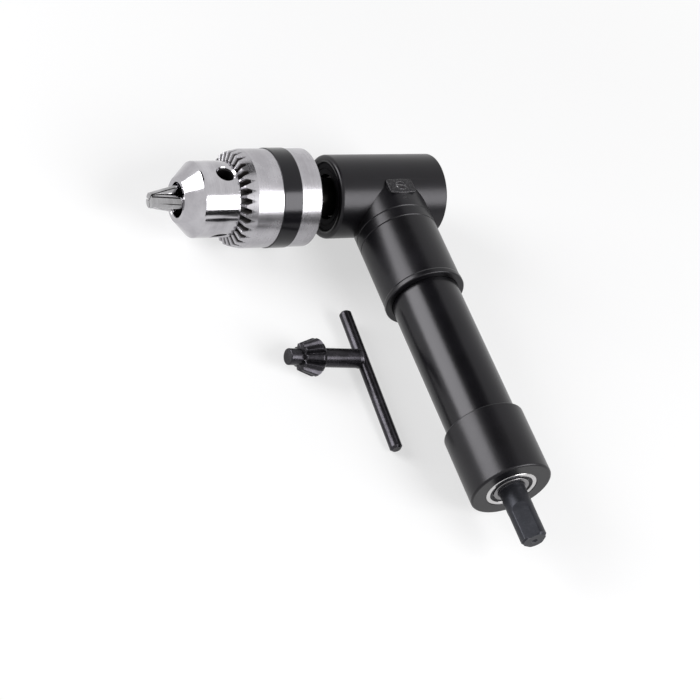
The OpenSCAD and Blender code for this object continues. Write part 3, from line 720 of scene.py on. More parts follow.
class Wardrobe:
    """Makes each finish once and hands it out."""

    def __init__(self) -> None:
        """Lists the finishes of this object."""
        head, chuck = HeadSizes(), ChuckSizes()
        self.recipes: dict[Role, Finish] = {
            Role.ENAMEL: Enamel(),
            # The head's worn colour is worn paint and a painted highlight on the pad's rim.
            Role.HEAD: HeadEnamel(worn=(0.28, 0.275, 0.285), pad=head.pad_middle,
                                  recess_place=head.recess_place),
            Role.RECESS: Enamel(specular=0.06, rough=0.5),
            Role.TUBE: Enamel(rough=0.2, rough_spread=0.07),
            Role.BAND: Enamel(colour=(0.003, 0.003, 0.004), rough=0.13, rough_spread=0.06, specular=0.3,
                              peel=Cloud(1500.0, 2.0)),
            # The sleeve's tooth gaps, and the nose's bores and the place behind the ring gear, get painted
            # shade.
            Role.SLEEVE: ToothedSteel(edge_radius=reach("chuck_sleeve", 1) * MM, apex=chuck.key_place,
                                      taper_place=chuck.taper_place),
            Role.NOSE: BoredSteel(colour=(0.56, 0.55, 0.575), rough=0.06, rough_spread=0.07,
                                  outside=chuck.nose * MM, shoulder=chuck.nose_place,
                                  ring_edge=chuck.ring_edge),
            # The jaws' lighter edges are a painted highlight.
            Role.JAW: TurnedSteel(colour=(0.5, 0.495, 0.51), dark=(0.25, 0.247, 0.25), rough=0.08,
                                  rough_spread=0.08, fine=Cloud(1800.0, 2.0, 0.7), edge_highlight_width=0.0003,
                                  edge_highlight_colour=(0.75, 0.745, 0.76)),
            # The oxide finishes' lighter edges are worn metal and a painted edge highlight.
            Role.SHANK: BlackOxide(colour=(0.026, 0.027, 0.032), worn=(0.045, 0.046, 0.054), rough=0.33,
                                   cloud=Cloud(110.0, 5.0, 0.65), mark_depth=0.000001, wear_and_highlight=0.9),
            Role.KEY: BlackOxide(colour=(0.02, 0.019, 0.022), worn=(0.055, 0.052, 0.061), rough=0.2,
                                 rough_spread=0.1, wear_and_highlight=0.75, wear_and_highlight_width=0.0003),
            Role.SCREW: BlackOxide(colour=(0.02, 0.019, 0.021), bright=(0.62, 0.61, 0.63), rough=0.2,
                                   wear_and_highlight=1.0, wear_and_highlight_width=0.0004, cloud=Cloud(900.0, 5.0, 0.65)),
            Role.GREASED: BlackOxide(colour=(0.008, 0.0075, 0.007), worn=(0.02, 0.018, 0.016), rough=0.2,
                                     wear_and_highlight=0.1),
            Role.SPRING: BlackOxide(colour=(0.012, 0.012, 0.013), rough=0.34, wear_and_highlight=0.3),
            Role.MACHINED: TurnedSteel(colour=(0.3, 0.295, 0.3), dark=(0.18, 0.175, 0.18), rough=0.26),
            Role.GEAR: TurnedSteel(colour=(0.3, 0.29, 0.27), dark=(0.16, 0.15, 0.13), rough=0.3),
            Role.RACE: TurnedSteel(ARM_AXIS, colour=(0.66, 0.655, 0.66), dark=(0.45, 0.44, 0.44), rough=0.12,
                                   rough_spread=0.1),
            Role.BRONZE: TurnedSteel(colour=(0.52, 0.38, 0.2), dark=(0.34, 0.23, 0.12), rough=0.3),
        }
        self.made: dict[Role, bpy.types.Material] = {}

    def take(self, role: Role) -> bpy.types.Material:
        """Hands out the material of a finish, made when it is first wanted.

        Args:
            role: The finish.

        Returns:
            Its material.
        """
        if role not in self.made:
            self.made[role] = self.recipes[role].build(role.value)
        return self.made[role]


# Mesh tools


class Sections(IntEnum):
    """How many sections stand for a full turn of a piece."""

    SHANK = 240
    HEAD = 224
    BAND = 200
    PLAIN = 160
    RACE = 144
    ROD = 96
    KEY_HOLE = 72
    SCREW = 64
    POCKET = 48


class Carving(Enum):
    """What a cutter does to a body."""

    UNION = "UNION"
    DIFFERENCE = "DIFFERENCE"


class Outline:
    """A turned outline: corners in millimetres, each with its own rounding."""

    FILLET_STEPS = 6
    SUPPORT = 0.12
    SIDE_SHARE = 0.49

    def __init__(self, *corners: Sequence[float]) -> None:
        """Keeps the corners, each as a radius, a place and, where it is rounded, a fillet's radius."""
        self.corners = [(*corner, 0.0)[:3] for corner in corners]

    @property
    def is_ring(self) -> bool:
        """Whether the outline stays off the axis, so that its last corner joins its first."""
        return self.corners[0][0] > 0

    def _fillet(self, index: int, closed: bool) -> list[Vector]:
        """The points that stand for one corner.

        Args:
            index: The corner's number.
            closed: Whether the last corner joins the first.

        Returns:
            One point, or the points of its fillet.
        """
        radius, place, rounding = self.corners[index]
        here = Vector((radius, place))
        if rounding <= 0 or (not closed and index in (0, len(self.corners) - 1)):
            return [here]
        before = Vector(self.corners[index - 1][:2]) - here
        after = Vector(self.corners[(index + 1) % len(self.corners)][:2]) - here
        half = before.angle(after) / 2
        back = min(rounding / math.tan(half), self.SIDE_SHARE * before.length, self.SIDE_SHARE * after.length)
        round_r = back * math.tan(half)
        start, end = here + before.normalized() * back, here + after.normalized() * back
        centre = here + (before.normalized() + after.normalized()).normalized() * (round_r / math.sin(half))
        first, second = start - centre, end - centre
        whole = first.angle(second)
        points = []
        for step in range(self.FILLET_STEPS + 1):
            share = step / self.FILLET_STEPS
            from_first = math.sin((1 - share) * whole) / math.sin(whole)
            from_second = math.sin(share * whole) / math.sin(whole)
            points.append(centre + first * from_first + second * from_second)
        return points

    def points(self, closed: bool) -> list[Point]:
        """The whole outline with its fillets, and with support points beside its corners.

        Args:
            closed: Whether the last corner joins the first.

        Returns:
            The points in millimetres.
        """
        flat = [point for index in range(len(self.corners)) for point in self._fillet(index, closed)]
        joined = []
        for index in range(len(flat) if closed else len(flat) - 1):
            start, end = flat[index], flat[(index + 1) % len(flat)]
            joined.append(start)
            if (end - start).length > 5 * self.SUPPORT:
                lean = (end - start).normalized() * self.SUPPORT
                joined.extend((start + lean, end - lean))
        if not closed:
            joined.append(flat[-1])
        return [(point.x, point.y) for point in joined]


def soft_least(first: float, second: float, width: float) -> float:
    """The lesser of two numbers, with a rounded change from one to the other where they differ by a width."""
    near = max(width - abs(first - second), 0.0) / width
    return min(first, second) - near * near * width / 4


def turns(count: int) -> list[float]:
    """Evenly spaced turns about an axis, in radians."""
    return [FULL_TURN * index / count for index in range(count)]


def mirrored(shares: Sequence[float], whole: float) -> list[float]:
    """Shares up to a sector's middle, followed by their mirror images up to its end."""
    return [*shares, *(whole - share for share in reversed(shares[:-1]))]


def smooth(data: bpy.types.Mesh) -> None:
    """Shades a mesh smooth, apart from its sharp edges."""
    data.polygons.foreach_set("use_smooth", [True] * len(data.polygons))
    data.set_sharp_from_angle(angle=SHARP_ANGLE)


def finish_mesh(mesh: bmesh.types.BMesh, name: str, outward: bool = True) -> bpy.types.Object:
    """Makes an object of a working mesh, with merged points and smooth faces.

    Args:
        mesh: The working mesh, which is freed.
        name: The object's name.
        outward: Whether its normals are recalculated outwards.

    Returns:
        The new object, linked to the scene.
    """
    bmesh.ops.remove_doubles(mesh, verts=mesh.verts, dist=MERGE_DISTANCE)
    if outward:
        bmesh.ops.recalc_face_normals(mesh, faces=mesh.faces)
    data = bpy.data.meshes.new(name)
    mesh.to_mesh(data)
    mesh.free()
    smooth(data)
    made = bpy.data.objects.new(name, data)
    bpy.context.scene.collection.objects.link(made)
    return made


def sheet(name: str, corners: Iterable[Vector], material: bpy.types.Material) -> bpy.types.Object:
    """A flat face of the studio.

    Args:
        name: Its name.
        corners: Its corners in order.
        material: Its material.

    Returns:
        The new object.
    """
    mesh = bmesh.new()
    mesh.faces.new([mesh.verts.new(corner) for corner in corners])
    made = finish_mesh(mesh, name, False)
    made.data.materials.append(material)
    return made


def round_edges(mesh: bmesh.types.BMesh, edges: list[bmesh.types.BMEdge], radius: float, steps: int) -> None:
    """Rounds edges of a working mesh by a radius in millimetres."""
    bmesh.ops.bevel(mesh, geom=edges, offset=radius * MM, segments=steps, profile=0.5, affect="EDGES")


def turned(name: str, axis: Axis, around: Sequence[float], section: Callable[[float], Sequence[Point]],
           closed: bool, whole: bool = True) -> bpy.types.Object:
    """A turned solid whose section may change with the turn.

    Args:
        name: The object's name.
        axis: The axis that it is turned about.
        around: The turns at which it is cut into sections.
        section: Gives the section's points in millimetres at a turn.
        closed: Whether the section is a ring, and not a line from axis to axis.
        whole: Whether the last section joins the first, and not one sector of a turn.

    Returns:
        The new object.
    """
    mesh = bmesh.new()
    rows = []
    for turn in around:
        points = section(turn)
        rows.append([mesh.verts.new(axis.point(radius * MM, turn, place * MM)) for radius, place in points])
    for first, second in zip(rows, rows[1:] + rows[:1] if whole else rows[1:]):
        length = len(first)
        for index in range(length if closed else length - 1):
            after = (index + 1) % length
            mesh.faces.new((first[index], first[after], second[after], second[index]))
    bmesh.ops.dissolve_degenerate(mesh, edges=mesh.edges, dist=MERGE_DISTANCE)
    return finish_mesh(mesh, name, whole)


def lathe(name: str, axis: Axis, outline: Outline, sections: int = Sections.PLAIN) -> bpy.types.Object:
    """A plain turned solid with one outline all round."""
    points = outline.points(outline.is_ring)
    return turned(name, axis, turns(sections), lambda turn: points, outline.is_ring)


def settle(body: bpy.types.Object) -> bpy.types.Object:
    """Turns an object's modifiers into plain mesh.

    Args:
        body: The object.

    Returns:
        The same object.
    """
    graph = bpy.context.evaluated_depsgraph_get()
    data = bpy.data.meshes.new_from_object(body.evaluated_get(graph), depsgraph=graph)
    body.modifiers.clear()
    body.data = data
    smooth(data)
    return body


def carve(body: bpy.types.Object, cutters: Sequence[bpy.types.Object],
          carving: Carving = Carving.DIFFERENCE) -> bpy.types.Object:
    """Joins cutters to a body or takes them out of it, and deletes them.

    Args:
        body: The object that is kept.
        cutters: The other objects.
        carving: What they do to it.

    Returns:
        The body with its new mesh.
    """
    for cutter in cutters:
        modifier = body.modifiers.new("carve", "BOOLEAN")
        modifier.operation = carving.value
        modifier.solver = "EXACT"
        modifier.object = cutter
    settle(body)
    for cutter in cutters:
        bpy.data.objects.remove(cutter)
    return body


class AboutAxis:
    """A Geometry Nodes tree that repeats one sector about an axis and joins the sectors into one solid."""

    NAME = "repeat_about_axis"
    SOCKETS = (("Sector", "INPUT", "Geometry"), ("Copies", "INPUT", "Int"), ("Axis", "INPUT", "Vector"),
               ("Centre", "INPUT", "Vector"), ("Join distance", "INPUT", "Float"),
               ("Finish", "INPUT", "Material"), ("Solid", "OUTPUT", "Geometry"))

    def __init__(self) -> None:
        """Builds the tree with its named inputs."""
        self.tree = bpy.data.node_groups.new(self.NAME, "GeometryNodeTree")
        self.tree.is_modifier = True
        for name, way, kind in self.SOCKETS:
            self.tree.interface.new_socket(name, in_out=way, socket_type=f"NodeSocket{kind}")
        self._wire()

    def _node(self, kind: str, links: dict[str | int, bpy.types.NodeSocket | float | int | bool],
              **settings: object) -> bpy.types.NodeOutputs:
        """Adds one node of the tree.

        Args:
            kind: The node's type.
            links: Its inputs' sockets or numbers, by name or index.
            **settings: Its settings, which are set first.

        Returns:
            Its outputs.
        """
        made = self.tree.nodes.new(kind)
        for name, setting in settings.items():
            setattr(made, name, setting)
        for key, value in links.items():
            if isinstance(value, bpy.types.NodeSocket):
                self.tree.links.new(value, made.inputs[key])
            else:
                made.inputs[key].default_value = value
        return made.outputs

    def _wire(self) -> None:
        """Joins the nodes: copy, turn each copy by its share of a full turn, realise, merge and dress."""
        given = self._node("NodeGroupInput", {})
        copies = self._node("GeometryNodeGeometryToInstance", {0: given["Sector"]})
        repeated = self._node("GeometryNodeDuplicateElements",
                              {"Geometry": copies[0], "Amount": given["Copies"]}, domain="INSTANCE")
        share = self._node("ShaderNodeMath", {0: repeated["Duplicate Index"], 1: given["Copies"]},
                           operation="DIVIDE")
        angle = self._node("ShaderNodeMath", {0: share[0], 1: FULL_TURN}, operation="MULTIPLY")
        turn = self._node("FunctionNodeAxisAngleToRotation", {"Axis": given["Axis"], "Angle": angle[0]})
        placed = self._node("GeometryNodeRotateInstances",
                            {"Instances": repeated["Geometry"], "Rotation": turn[0],
                             "Pivot Point": given["Centre"], "Local Space": False})
        real = self._node("GeometryNodeRealizeInstances", {"Geometry": placed[0]})
        joined = self._node("GeometryNodeMergeByDistance",
                            {"Geometry": real[0], "Distance": given["Join distance"]})
        dressed = self._node("GeometryNodeSetMaterial", {"Geometry": joined[0], "Material": given["Finish"]})
        self._node("NodeGroupOutput", {0: dressed[0]})

    def apply(self, sector: bpy.types.Object, axis: Axis, copies: int, finish: bpy.types.Material) -> None:
        """Repeats an object's mesh about an axis and keeps the result as its plain mesh.

        Args:
            sector: The object that holds one sector.
            axis: The axis.
            copies: How many sectors make the full turn.
            finish: The material of the result.
        """
        modifier = sector.modifiers.new("repeat", "NODES")
        modifier.node_group = self.tree
        values = {"Copies": copies, "Axis": tuple(axis.along), "Centre": tuple(axis.origin),
                  "Join distance": JOIN_DISTANCE, "Finish": finish}
        for item in self.tree.interface.items_tree:
            if item.in_out == "INPUT" and item.name in values:
                modifier[item.identifier] = values[item.name]
        settle(sector)
        mesh = bmesh.new()
        mesh.from_mesh(sector.data)
        bmesh.ops.recalc_face_normals(mesh, faces=mesh.faces)
        mesh.to_mesh(sector.data)
        mesh.free()
        smooth(sector.data)


# Sub-assemblies


class Assembly:
    """What the sub-assemblies share: dressing, replacing and reporting."""

    def __init__(self, wardrobe: Wardrobe, repeat: AboutAxis) -> None:
        """Keeps the shared finishes and the tree that repeats sectors about an axis."""
        self.wardrobe = wardrobe
        self.repeat = repeat

    def dress(self, thing: bpy.types.Object, role: Role) -> None:
        """Gives an object one finish all over."""
        thing.data.materials.clear()
        thing.data.materials.append(self.wardrobe.take(role))

    def dress_nodes(self, role: Role, *nodes: str) -> None:
        """Gives CAD nodes a finish.

        Args:
            role: The finish.
            *nodes: The nodes' names.
        """
        for name in nodes:
            self.dress(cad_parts[name], role)
            LOG.info("%s keeps its CAD mesh, finished as %s", name, role.value)

    def stand_for(self, piece: bpy.types.Object, node: str, body: str, role: Role) -> None:
        """Puts a modelled piece in a CAD node's place.

        Args:
            piece: The modelled piece.
            node: The CAD node that it replaces.
            body: The body that it rides on.
            role: Its finish.
        """
        self.dress(piece, role)
        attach(piece, body)
        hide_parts(node)
        LOG.info("%s stands for %s, %d faces", piece.name, node, len(piece.data.polygons))


@dataclass
class HeadSizes:
    """Sizes of the gear head in millimetres."""

    break_edge: float = 0.5
    lip_height: float = 1.4
    recess: float = 13.0
    recess_start: float = 1.0
    floor: float = 9.0
    line: float = 0.25
    pad_width: float = 11.0
    pad_length: float = 6.6
    pad_near: float = 5.5
    pad_root: float = 9.0
    pad_top: float = 15.6
    pad_corner: float = 1.2
    pad_corner_steps: int = 6
    pad_edge: float = 0.18
    pad_edge_steps: int = 3
    screw_head: float = 1.9
    screw_shank_share: float = 0.63
    screw_end: float = 0.1
    screw_edge: float = 0.25
    slot: float = 0.5
    pocket_gap: float = 0.08
    pocket_floor: float = 12.0
    pocket_top: float = 20.0
    ring_hole: float = 8.6
    ring_edge: float = 0.15
    hole_edge: float = 0.25
    groove_half: float = 0.25
    groove_depth: float = 0.25
    groove_mouth: float = 0.4
    groove_edge: float = 0.08

    @property
    def pad_middle(self) -> Place:
        """The middle of the pad's top in the row frame, in metres."""
        return tuple(CROSSING + Vector((0.0, self.pad_near + self.pad_length / 2, self.pad_top)) * MM)

    @property
    def recess_place(self) -> float:
        """Where the dull recess starts, just behind the ring, in metres along the chuck axis."""
        return (span("retainer_ring", 0)[0] - self.recess_start) * MM


class GearHead(Assembly):
    """The black barrel with its boss, pad, grease screw, ring and spindle."""

    sizes = HeadSizes()

    def barrel(self) -> bpy.types.Object:
        """The barrel along the chuck axis, with its rounded lip and deep front recess.

        Returns:
            The barrel.
        """
        size = self.sizes
        low, high = span("head_housing", 0)
        outer = reach("head_housing", 2)
        floor = high - size.lip_height - size.floor
        outline = Outline((0, low), (outer, low, size.break_edge), (outer, high, size.lip_height),
                          (size.recess, high, size.lip_height), (size.recess, floor), (0, floor))
        return lathe("head_barrel", CHUCK_AXIS, outline, Sections.HEAD)

    def boss(self) -> bpy.types.Object:
        """The boss that carries the arm, as a solid that starts inside the barrel.

        Returns:
            The boss.
        """
        line = self.sizes.line
        radius = reach("lock_ring", 0)
        end = span("lock_ring", 1)[0]
        outline = Outline((0, 0), (radius, 0), (radius, end - line), (radius - line, end), (0, end))
        return lathe("boss", ARM_AXIS, outline, Sections.HEAD)

    def pad(self) -> bpy.types.Object:
        """The flat pad with rounded corners and softened edges.

        Returns:
            The pad.
        """
        size = self.sizes
        low = CROSSING + Vector((-size.pad_width / 2, size.pad_near, size.pad_root)) * MM
        high = CROSSING + Vector((size.pad_width / 2, size.pad_near + size.pad_length, size.pad_top)) * MM
        mesh = bmesh.new()
        bmesh.ops.create_cube(mesh, size=1.0)
        for vertex in mesh.verts:
            for index in range(3):
                vertex.co[index] = low[index] if vertex.co[index] < 0 else high[index]
        upright = [edge for edge in mesh.edges
                   if abs(edge.verts[0].co.z - edge.verts[1].co.z) > MERGE_DISTANCE]
        round_edges(mesh, upright, size.pad_corner, size.pad_corner_steps)
        top = [edge for edge in mesh.edges
               if all(vertex.co.z > high.z - MERGE_DISTANCE for vertex in edge.verts)]
        round_edges(mesh, top, size.pad_edge, size.pad_edge_steps)
        return finish_mesh(mesh, "pad")

    def screw(self, axis: Axis) -> bpy.types.Object:
        """The grease screw's slotted head with a softened rim.

        Args:
            axis: The screw's axis, from the crossing's height.

        Returns:
            The screw.
        """
        size = self.sizes
        low, high = span("grease_screw", 2)
        shank = size.screw_head * size.screw_shank_share
        seat = size.pad_top - size.screw_head / 2
        outline = Outline((0, low), (shank, low, size.screw_end), (shank, seat), (size.screw_head, seat),
                          (size.screw_head, high, size.screw_edge), (0, high))
        slot = bmesh.new()
        bmesh.ops.create_cube(slot, size=1.0)
        across = Vector((size.screw_head * 4, size.slot, size.slot * 2)) * MM
        bmesh.ops.scale(slot, vec=across, verts=slot.verts)
        bmesh.ops.translate(slot, vec=axis.origin + Vector((0, 0, high * MM)), verts=slot.verts)
        return carve(lathe("grease_screw_turned", axis, outline, Sections.SCREW), [finish_mesh(slot, "slot")])

    def pocket(self, axis: Axis) -> bpy.types.Object:
        """A cutter for the screw's place in the pad.

        Args:
            axis: The screw's axis.

        Returns:
            The cutter.
        """
        size = self.sizes
        radius = size.screw_head + size.pocket_gap
        outline = Outline((0, size.pocket_floor), (radius, size.pocket_floor), (radius, size.pocket_top),
                          (0, size.pocket_top))
        return lathe("pocket", axis, outline, Sections.POCKET)

    def retainer(self) -> bpy.types.Object:
        """The ring in the head's front recess, with a fine groove in its face.

        Returns:
            The ring.
        """
        size = self.sizes
        low, high = span("retainer_ring", 0)
        outer = reach("retainer_ring", 1)
        groove = (outer + size.ring_hole) / 2
        bottom = high - size.groove_depth
        outline = Outline((outer, low), (outer, high, size.ring_edge),
                          (groove + size.groove_mouth, high, size.groove_edge),
                          (groove + size.groove_half, bottom), (groove - size.groove_half, bottom),
                          (groove - size.groove_mouth, high, size.groove_edge),
                          (size.ring_hole, high, size.hole_edge), (size.ring_hole, low))
        return lathe("retainer_turned", CHUCK_AXIS, outline)

    def build(self) -> None:
        """Builds and dresses the head."""
        place = middle("grease_screw")
        screw_axis = Axis(Vector((place.x, place.y, CROSSING.z)), Vector((0, 0, 1)), Vector((1, 0, 0)))
        housing = carve(self.barrel(), [self.boss(), self.pad()], Carving.UNION)
        carve(housing, [self.pocket(screw_axis)])
        housing.name = "head_shell"
        self.stand_for(housing, "head_housing", "head", Role.HEAD)
        self.stand_for(self.screw(screw_axis), "grease_screw", "head", Role.SCREW)
        self.stand_for(self.retainer(), "retainer_ring", "head", Role.RECESS)
        self.dress_nodes(Role.BRONZE, "thrust_washer")
        self.dress_nodes(Role.MACHINED, "rear_bush")
        self.dress_nodes(Role.GREASED, "spindle", "front_bearing_outer", "front_bearing_balls",
                         "front_bearing_inner")
        self.dress_nodes(Role.GEAR, "spindle_gear")
        self.dress_nodes(Role.SPRING, "spindle_circlip")


@dataclass
class ArmSizes:
    """Sizes of the arm in millimetres."""

    line: float = 0.25
    line_low: float = 0.05
    line_high: float = 0.1
    stub_step: float = 2.5
    lip: float = 0.25
    lip_width: float = 1.8
    lip_round: float = 0.5
    edge: float = 0.5
    end_edge: float = 0.8
    wall: float = 2.0
    tube_gap: float = 0.06
    mouth_edge: float = 0.15
    seat: float = 9.5
    seat_step: float = 0.6
    race_inside: float = 7.94
    inner_outside: float = 6.56
    shaft: float = 5.0
    race_lip: float = 0.2
    race_edge: float = 0.3
    race_front: float = 0.35
    shield_gap: float = 0.28
    shield_drop: float = 0.19
    shield_edge: float = 0.08
    shield_fold: float = 0.15
    fold_edge: float = 0.05


class Arm(Assembly):
    """The lock ring, neck, grip tube, end collar and their bearings."""

    sizes = ArmSizes()

    def lock_ring(self) -> Outline:
        """The ring between two fine lines at the arm's foot.

        Returns:
            Its outline.
        """
        size = self.sizes
        start, end = span("lock_ring", 1)
        arm_r = reach("lock_ring", 0)
        low_r, stub_r = arm_r - size.line, arm_r - size.stub_step
        return Outline((stub_r, start), (low_r, start, size.line_low),
                       (arm_r, start + size.line, size.line_high), (arm_r, end - size.line, size.line_high),
                       (low_r, end, size.line_low), (stub_r, end))

    def neck(self) -> Outline:
        """The neck with its slight lip, which takes in the grip tube.

        Returns:
            Its outline.
        """
        size = self.sizes
        start, end = span("neck_sleeve", 1)
        foot = span("lock_ring", 1)[1]
        tube_start = span("grip_tube", 1)[0]
        arm_r = reach("lock_ring", 0)
        lip_r, stub_r = arm_r + size.lip, arm_r - size.stub_step
        bore = reach("grip_tube", 0) + size.tube_gap
        lip_start = end - size.lip_width
        return Outline((stub_r, foot), (arm_r - size.line, foot, size.line_low),
                       (arm_r, foot + size.line, size.line_high),
                       (arm_r, lip_start - size.edge, size.lip_round), (lip_r, lip_start, size.lip_round),
                       (lip_r, end, size.edge), (bore, end, size.mouth_edge), (bore, tube_start),
                       (stub_r, tube_start))

    def tube(self) -> Outline:
        """The plain grip tube.

        Returns:
            Its outline.
        """
        start, end = span("grip_tube", 1)
        outer = reach("grip_tube", 0)
        inner = outer - self.sizes.wall
        return Outline((inner, start), (outer, start), (outer, end), (inner, end))

    def collar(self) -> Outline:
        """The wide end collar, with the seat of the end bearing.

        Returns:
            Its outline.
        """
        size = self.sizes
        start, end = span("end_collar", 1)
        tube_end = span("grip_tube", 1)[1]
        seat_end = span("end_bearing_outer", 1)[0]
        outer = reach("end_collar", 0)
        bore = reach("grip_tube", 0) + size.tube_gap
        step = size.seat - size.seat_step
        return Outline((bore, tube_end), (bore, start, size.mouth_edge), (outer, start, size.edge),
                       (outer, end, size.end_edge), (size.seat + size.line, end, size.line_high),
                       (size.seat, end - size.line), (size.seat, seat_end), (step, seat_end),
                       (step, tube_end))

    def race_outer(self) -> Outline:
        """The end bearing's outer race, with broken edges.

        Returns:
            Its outline.
        """
        size = self.sizes
        start, end = span("end_bearing_outer", 1)
        outer = size.seat - PRESS_GAP
        return Outline((size.race_inside, start), (outer, start, size.race_edge),
                       (outer, end, size.race_front), (size.race_inside, end, size.race_lip))

    def race_inner(self) -> Outline:
        """The end bearing's inner race, with broken edges.

        Returns:
            Its outline.
        """
        size = self.sizes
        start, end = span("end_bearing_outer", 1)
        bore = size.shaft + PRESS_GAP
        return Outline((bore, start), (size.inner_outside, start, size.race_lip),
                       (size.inner_outside, end, size.race_lip), (bore, end, size.race_edge))

    def shield(self) -> Outline:
        """The end bearing's pressed shield, which is lower along its inside.

        Returns:
            Its outline.
        """
        size = self.sizes
        low, high = span("end_bearing_shield", 1)
        inside, outside = size.inner_outside + size.shield_gap, size.race_inside - PRESS_GAP
        step, dropped = (inside + outside) / 2, high - size.shield_drop
        return Outline((inside, low), (outside, low), (outside, high, size.shield_edge),
                       (step + size.shield_fold, high, size.fold_edge), (step, dropped, size.fold_edge),
                       (inside, dropped))

    def build(self) -> None:
        """Builds and dresses the arm."""
        for name, outline, sections, node, body, role in (
            ("lock_ring_turned", self.lock_ring(), Sections.PLAIN, "lock_ring", "head", Role.ENAMEL),
            ("neck_turned", self.neck(), Sections.PLAIN, "neck_sleeve", "head", Role.ENAMEL),
            ("grip_turned", self.tube(), Sections.PLAIN, "grip_tube", "head", Role.TUBE),
            ("collar_turned", self.collar(), Sections.PLAIN, "end_collar", "head", Role.ENAMEL),
            ("end_race_outer", self.race_outer(), Sections.RACE, "end_bearing_outer", "head", Role.RACE),
            ("end_race_inner", self.race_inner(), Sections.RACE, "end_bearing_inner", "input", Role.MACHINED),
            ("end_shield", self.shield(), Sections.RACE, "end_bearing_shield", "head", Role.SPRING),
        ):
            self.stand_for(lathe(name, ARM_AXIS, outline, sections), node, body, role)
        self.dress_nodes(Role.RACE, "pinion_bearing_outer", "pinion_bearing_balls", "pinion_bearing_inner",
                         "end_bearing_balls")
        self.dress_nodes(Role.GEAR, "input_pinion")
        self.dress_nodes(Role.SPRING, "pinion_circlip", "end_circlip")


@dataclass
class ShankSizes:
    """Sizes of the input shaft in millimetres, along it from the chuck axis."""

    shaft: float = 5.0
    shank: float = 4.75
    step: float = 137.25
    start: float = 130.0
    tip: float = 158.2
    chamfer: float = 0.7
    flat: float = 3.7
    runout: float = 3.0
    round_end: float = 144.7
    first_flat: float = 35.0
    centre: float = 1.2
    corner: float = 0.16
    support: float = 0.1
    curve_before: float = 1.0
    curve_step: float = 0.2
    curve_points: int = 26
    plain: float = 6.0


class Shank(Assembly):
    """The input shaft with its three-flat shank."""

    sizes = ShankSizes()

    def flat_depth(self, place: float) -> float:
        """Distance from the axis to the flats.

        Args:
            place: A place along the shaft.

        Returns:
            The distance, which grows where the flats run out.
        """
        size = self.sizes
        rise = size.shank - size.flat
        start = size.round_end + math.sqrt(size.runout**2 - (size.runout - rise) ** 2)
        away = min(max(start - place, 0.0), size.runout)
        return size.flat + size.runout - math.sqrt(size.runout**2 - away**2)

    def section(self, turn: float) -> list[Point]:
        """The shaft's outline, cut back where a flat lies.

        Args:
            turn: The turn about the shaft's axis.

        Returns:
            The outline's points.
        """
        size = self.sizes
        off = (turn - math.radians(size.first_flat) + THIRD_TURN / 2) % THIRD_TURN - THIRD_TURN / 2
        flat_end = size.tip - size.chamfer
        places = [size.round_end - size.curve_before + size.curve_step * index
                  for index in range(size.curve_points)]
        places += [flat_end - size.plain, flat_end - size.support, flat_end]
        points = [(0.0, size.start), (size.shaft, size.start), (size.shaft, size.step - size.support),
                  (size.shaft, size.step), (size.shank, size.step), (size.shank, size.step + size.support)]
        for place in places:
            cut = self.flat_depth(place) / math.cos(off)
            points.append((soft_least(size.shank, cut, size.corner), place))
        end = min(size.shank - size.chamfer, size.flat / math.cos(off))
        points += [(end, size.tip), (size.centre, size.tip), (0.0, size.tip - size.centre)]
        return points

    def build(self) -> None:
        """Builds and dresses the shank."""
        piece = turned("shank_turned", ARM_AXIS, turns(Sections.SHANK), self.section, False)
        self.stand_for(piece, "input_shaft", "input", Role.SHANK)


@dataclass
class ChuckSizes:
    """Sizes of the chuck in millimetres from its back face."""

    sleeve: float = 18.5
    groove: float = 18.15
    groove_edge: float = 0.06
    band_start: float = 8.4
    band_width: float = 7.6
    band_edge: float = 0.22
    cavity: float = 17.08
    rear_lip: float = 1.0
    rear_edge: float = 0.15
    rear_round: float = 1.1
    taper: float = 4.6
    ring: float = 17.45
    ring_back: float = 27.0
    ring_under: float = 0.6
    bore: float = 14.28
    crest: float = 0.284
    root: float = 0.48
    half_angle: float = 24.0
    teeth: int = 30
    first_gap: float = 8.8
    tooth_round: float = 0.012
    key_hole: float = 35.6
    key_hole_r: float = 3.2
    key_hole_depth: float = 6.0
    key_hole_chamfer: float = 0.35
    key_hole_turn: float = 60.0
    nose: float = 14.2
    nose_end: float = 45.4
    cone: float = 5.8
    nose_round: float = 1.2
    rim_edge: float = 0.55
    mouth: float = 6.5
    mouth_step: float = 1.2
    core: float = 5.3
    barrel: float = 15.0
    barrel_end: float = 26.7
    flange: float = 17.0
    flange_width: float = 1.7
    flange_edge: float = 0.2
    jaw: float = 2.6
    jaw_hole: float = 2.66
    jaw_hole_depth: float = 60.0
    tilt: float = 13.998
    tip: float = 61.7
    tip_off: float = 0.2
    grip_edge: float = 0.3
    grip_turn: float = 150.0
    jaw_length: float = 37.4
    rack_pitch: float = 2.0
    rack_depth: float = 0.55
    rack_rise: float = 1.6
    rack_teeth: int = 11
    first_jaw: float = 30.0
    jaw_bevel: float = 0.22
    bevel_steps: int = 3
    overrun: float = 2.0

    @property
    def back(self) -> float:
        """The chuck's back face, in millimetres from the arm axis."""
        return span("chuck_sleeve", 0)[0]

    @property
    def key_place(self) -> float:
        """The key holes' place along the chuck axis, in metres from the crossing."""
        return (self.back + self.key_hole) * MM

    @property
    def nose_place(self) -> float:
        """The nose's shoulder along the chuck axis, in metres from the crossing."""
        return (self.back + self.nose_end) * MM

    @property
    def ring_edge(self) -> float:
        """Where the ring gear's crests end beside the nose, in metres from the crossing."""
        return (self.back + self.key_hole - self.crest * self.bore) * MM

    @property
    def taper_place(self) -> float:
        """Where the sleeve's taper starts along the chuck axis, in metres from the crossing."""
        return (self.back + self.key_hole - self.crest * self.ring - self.taper) * MM


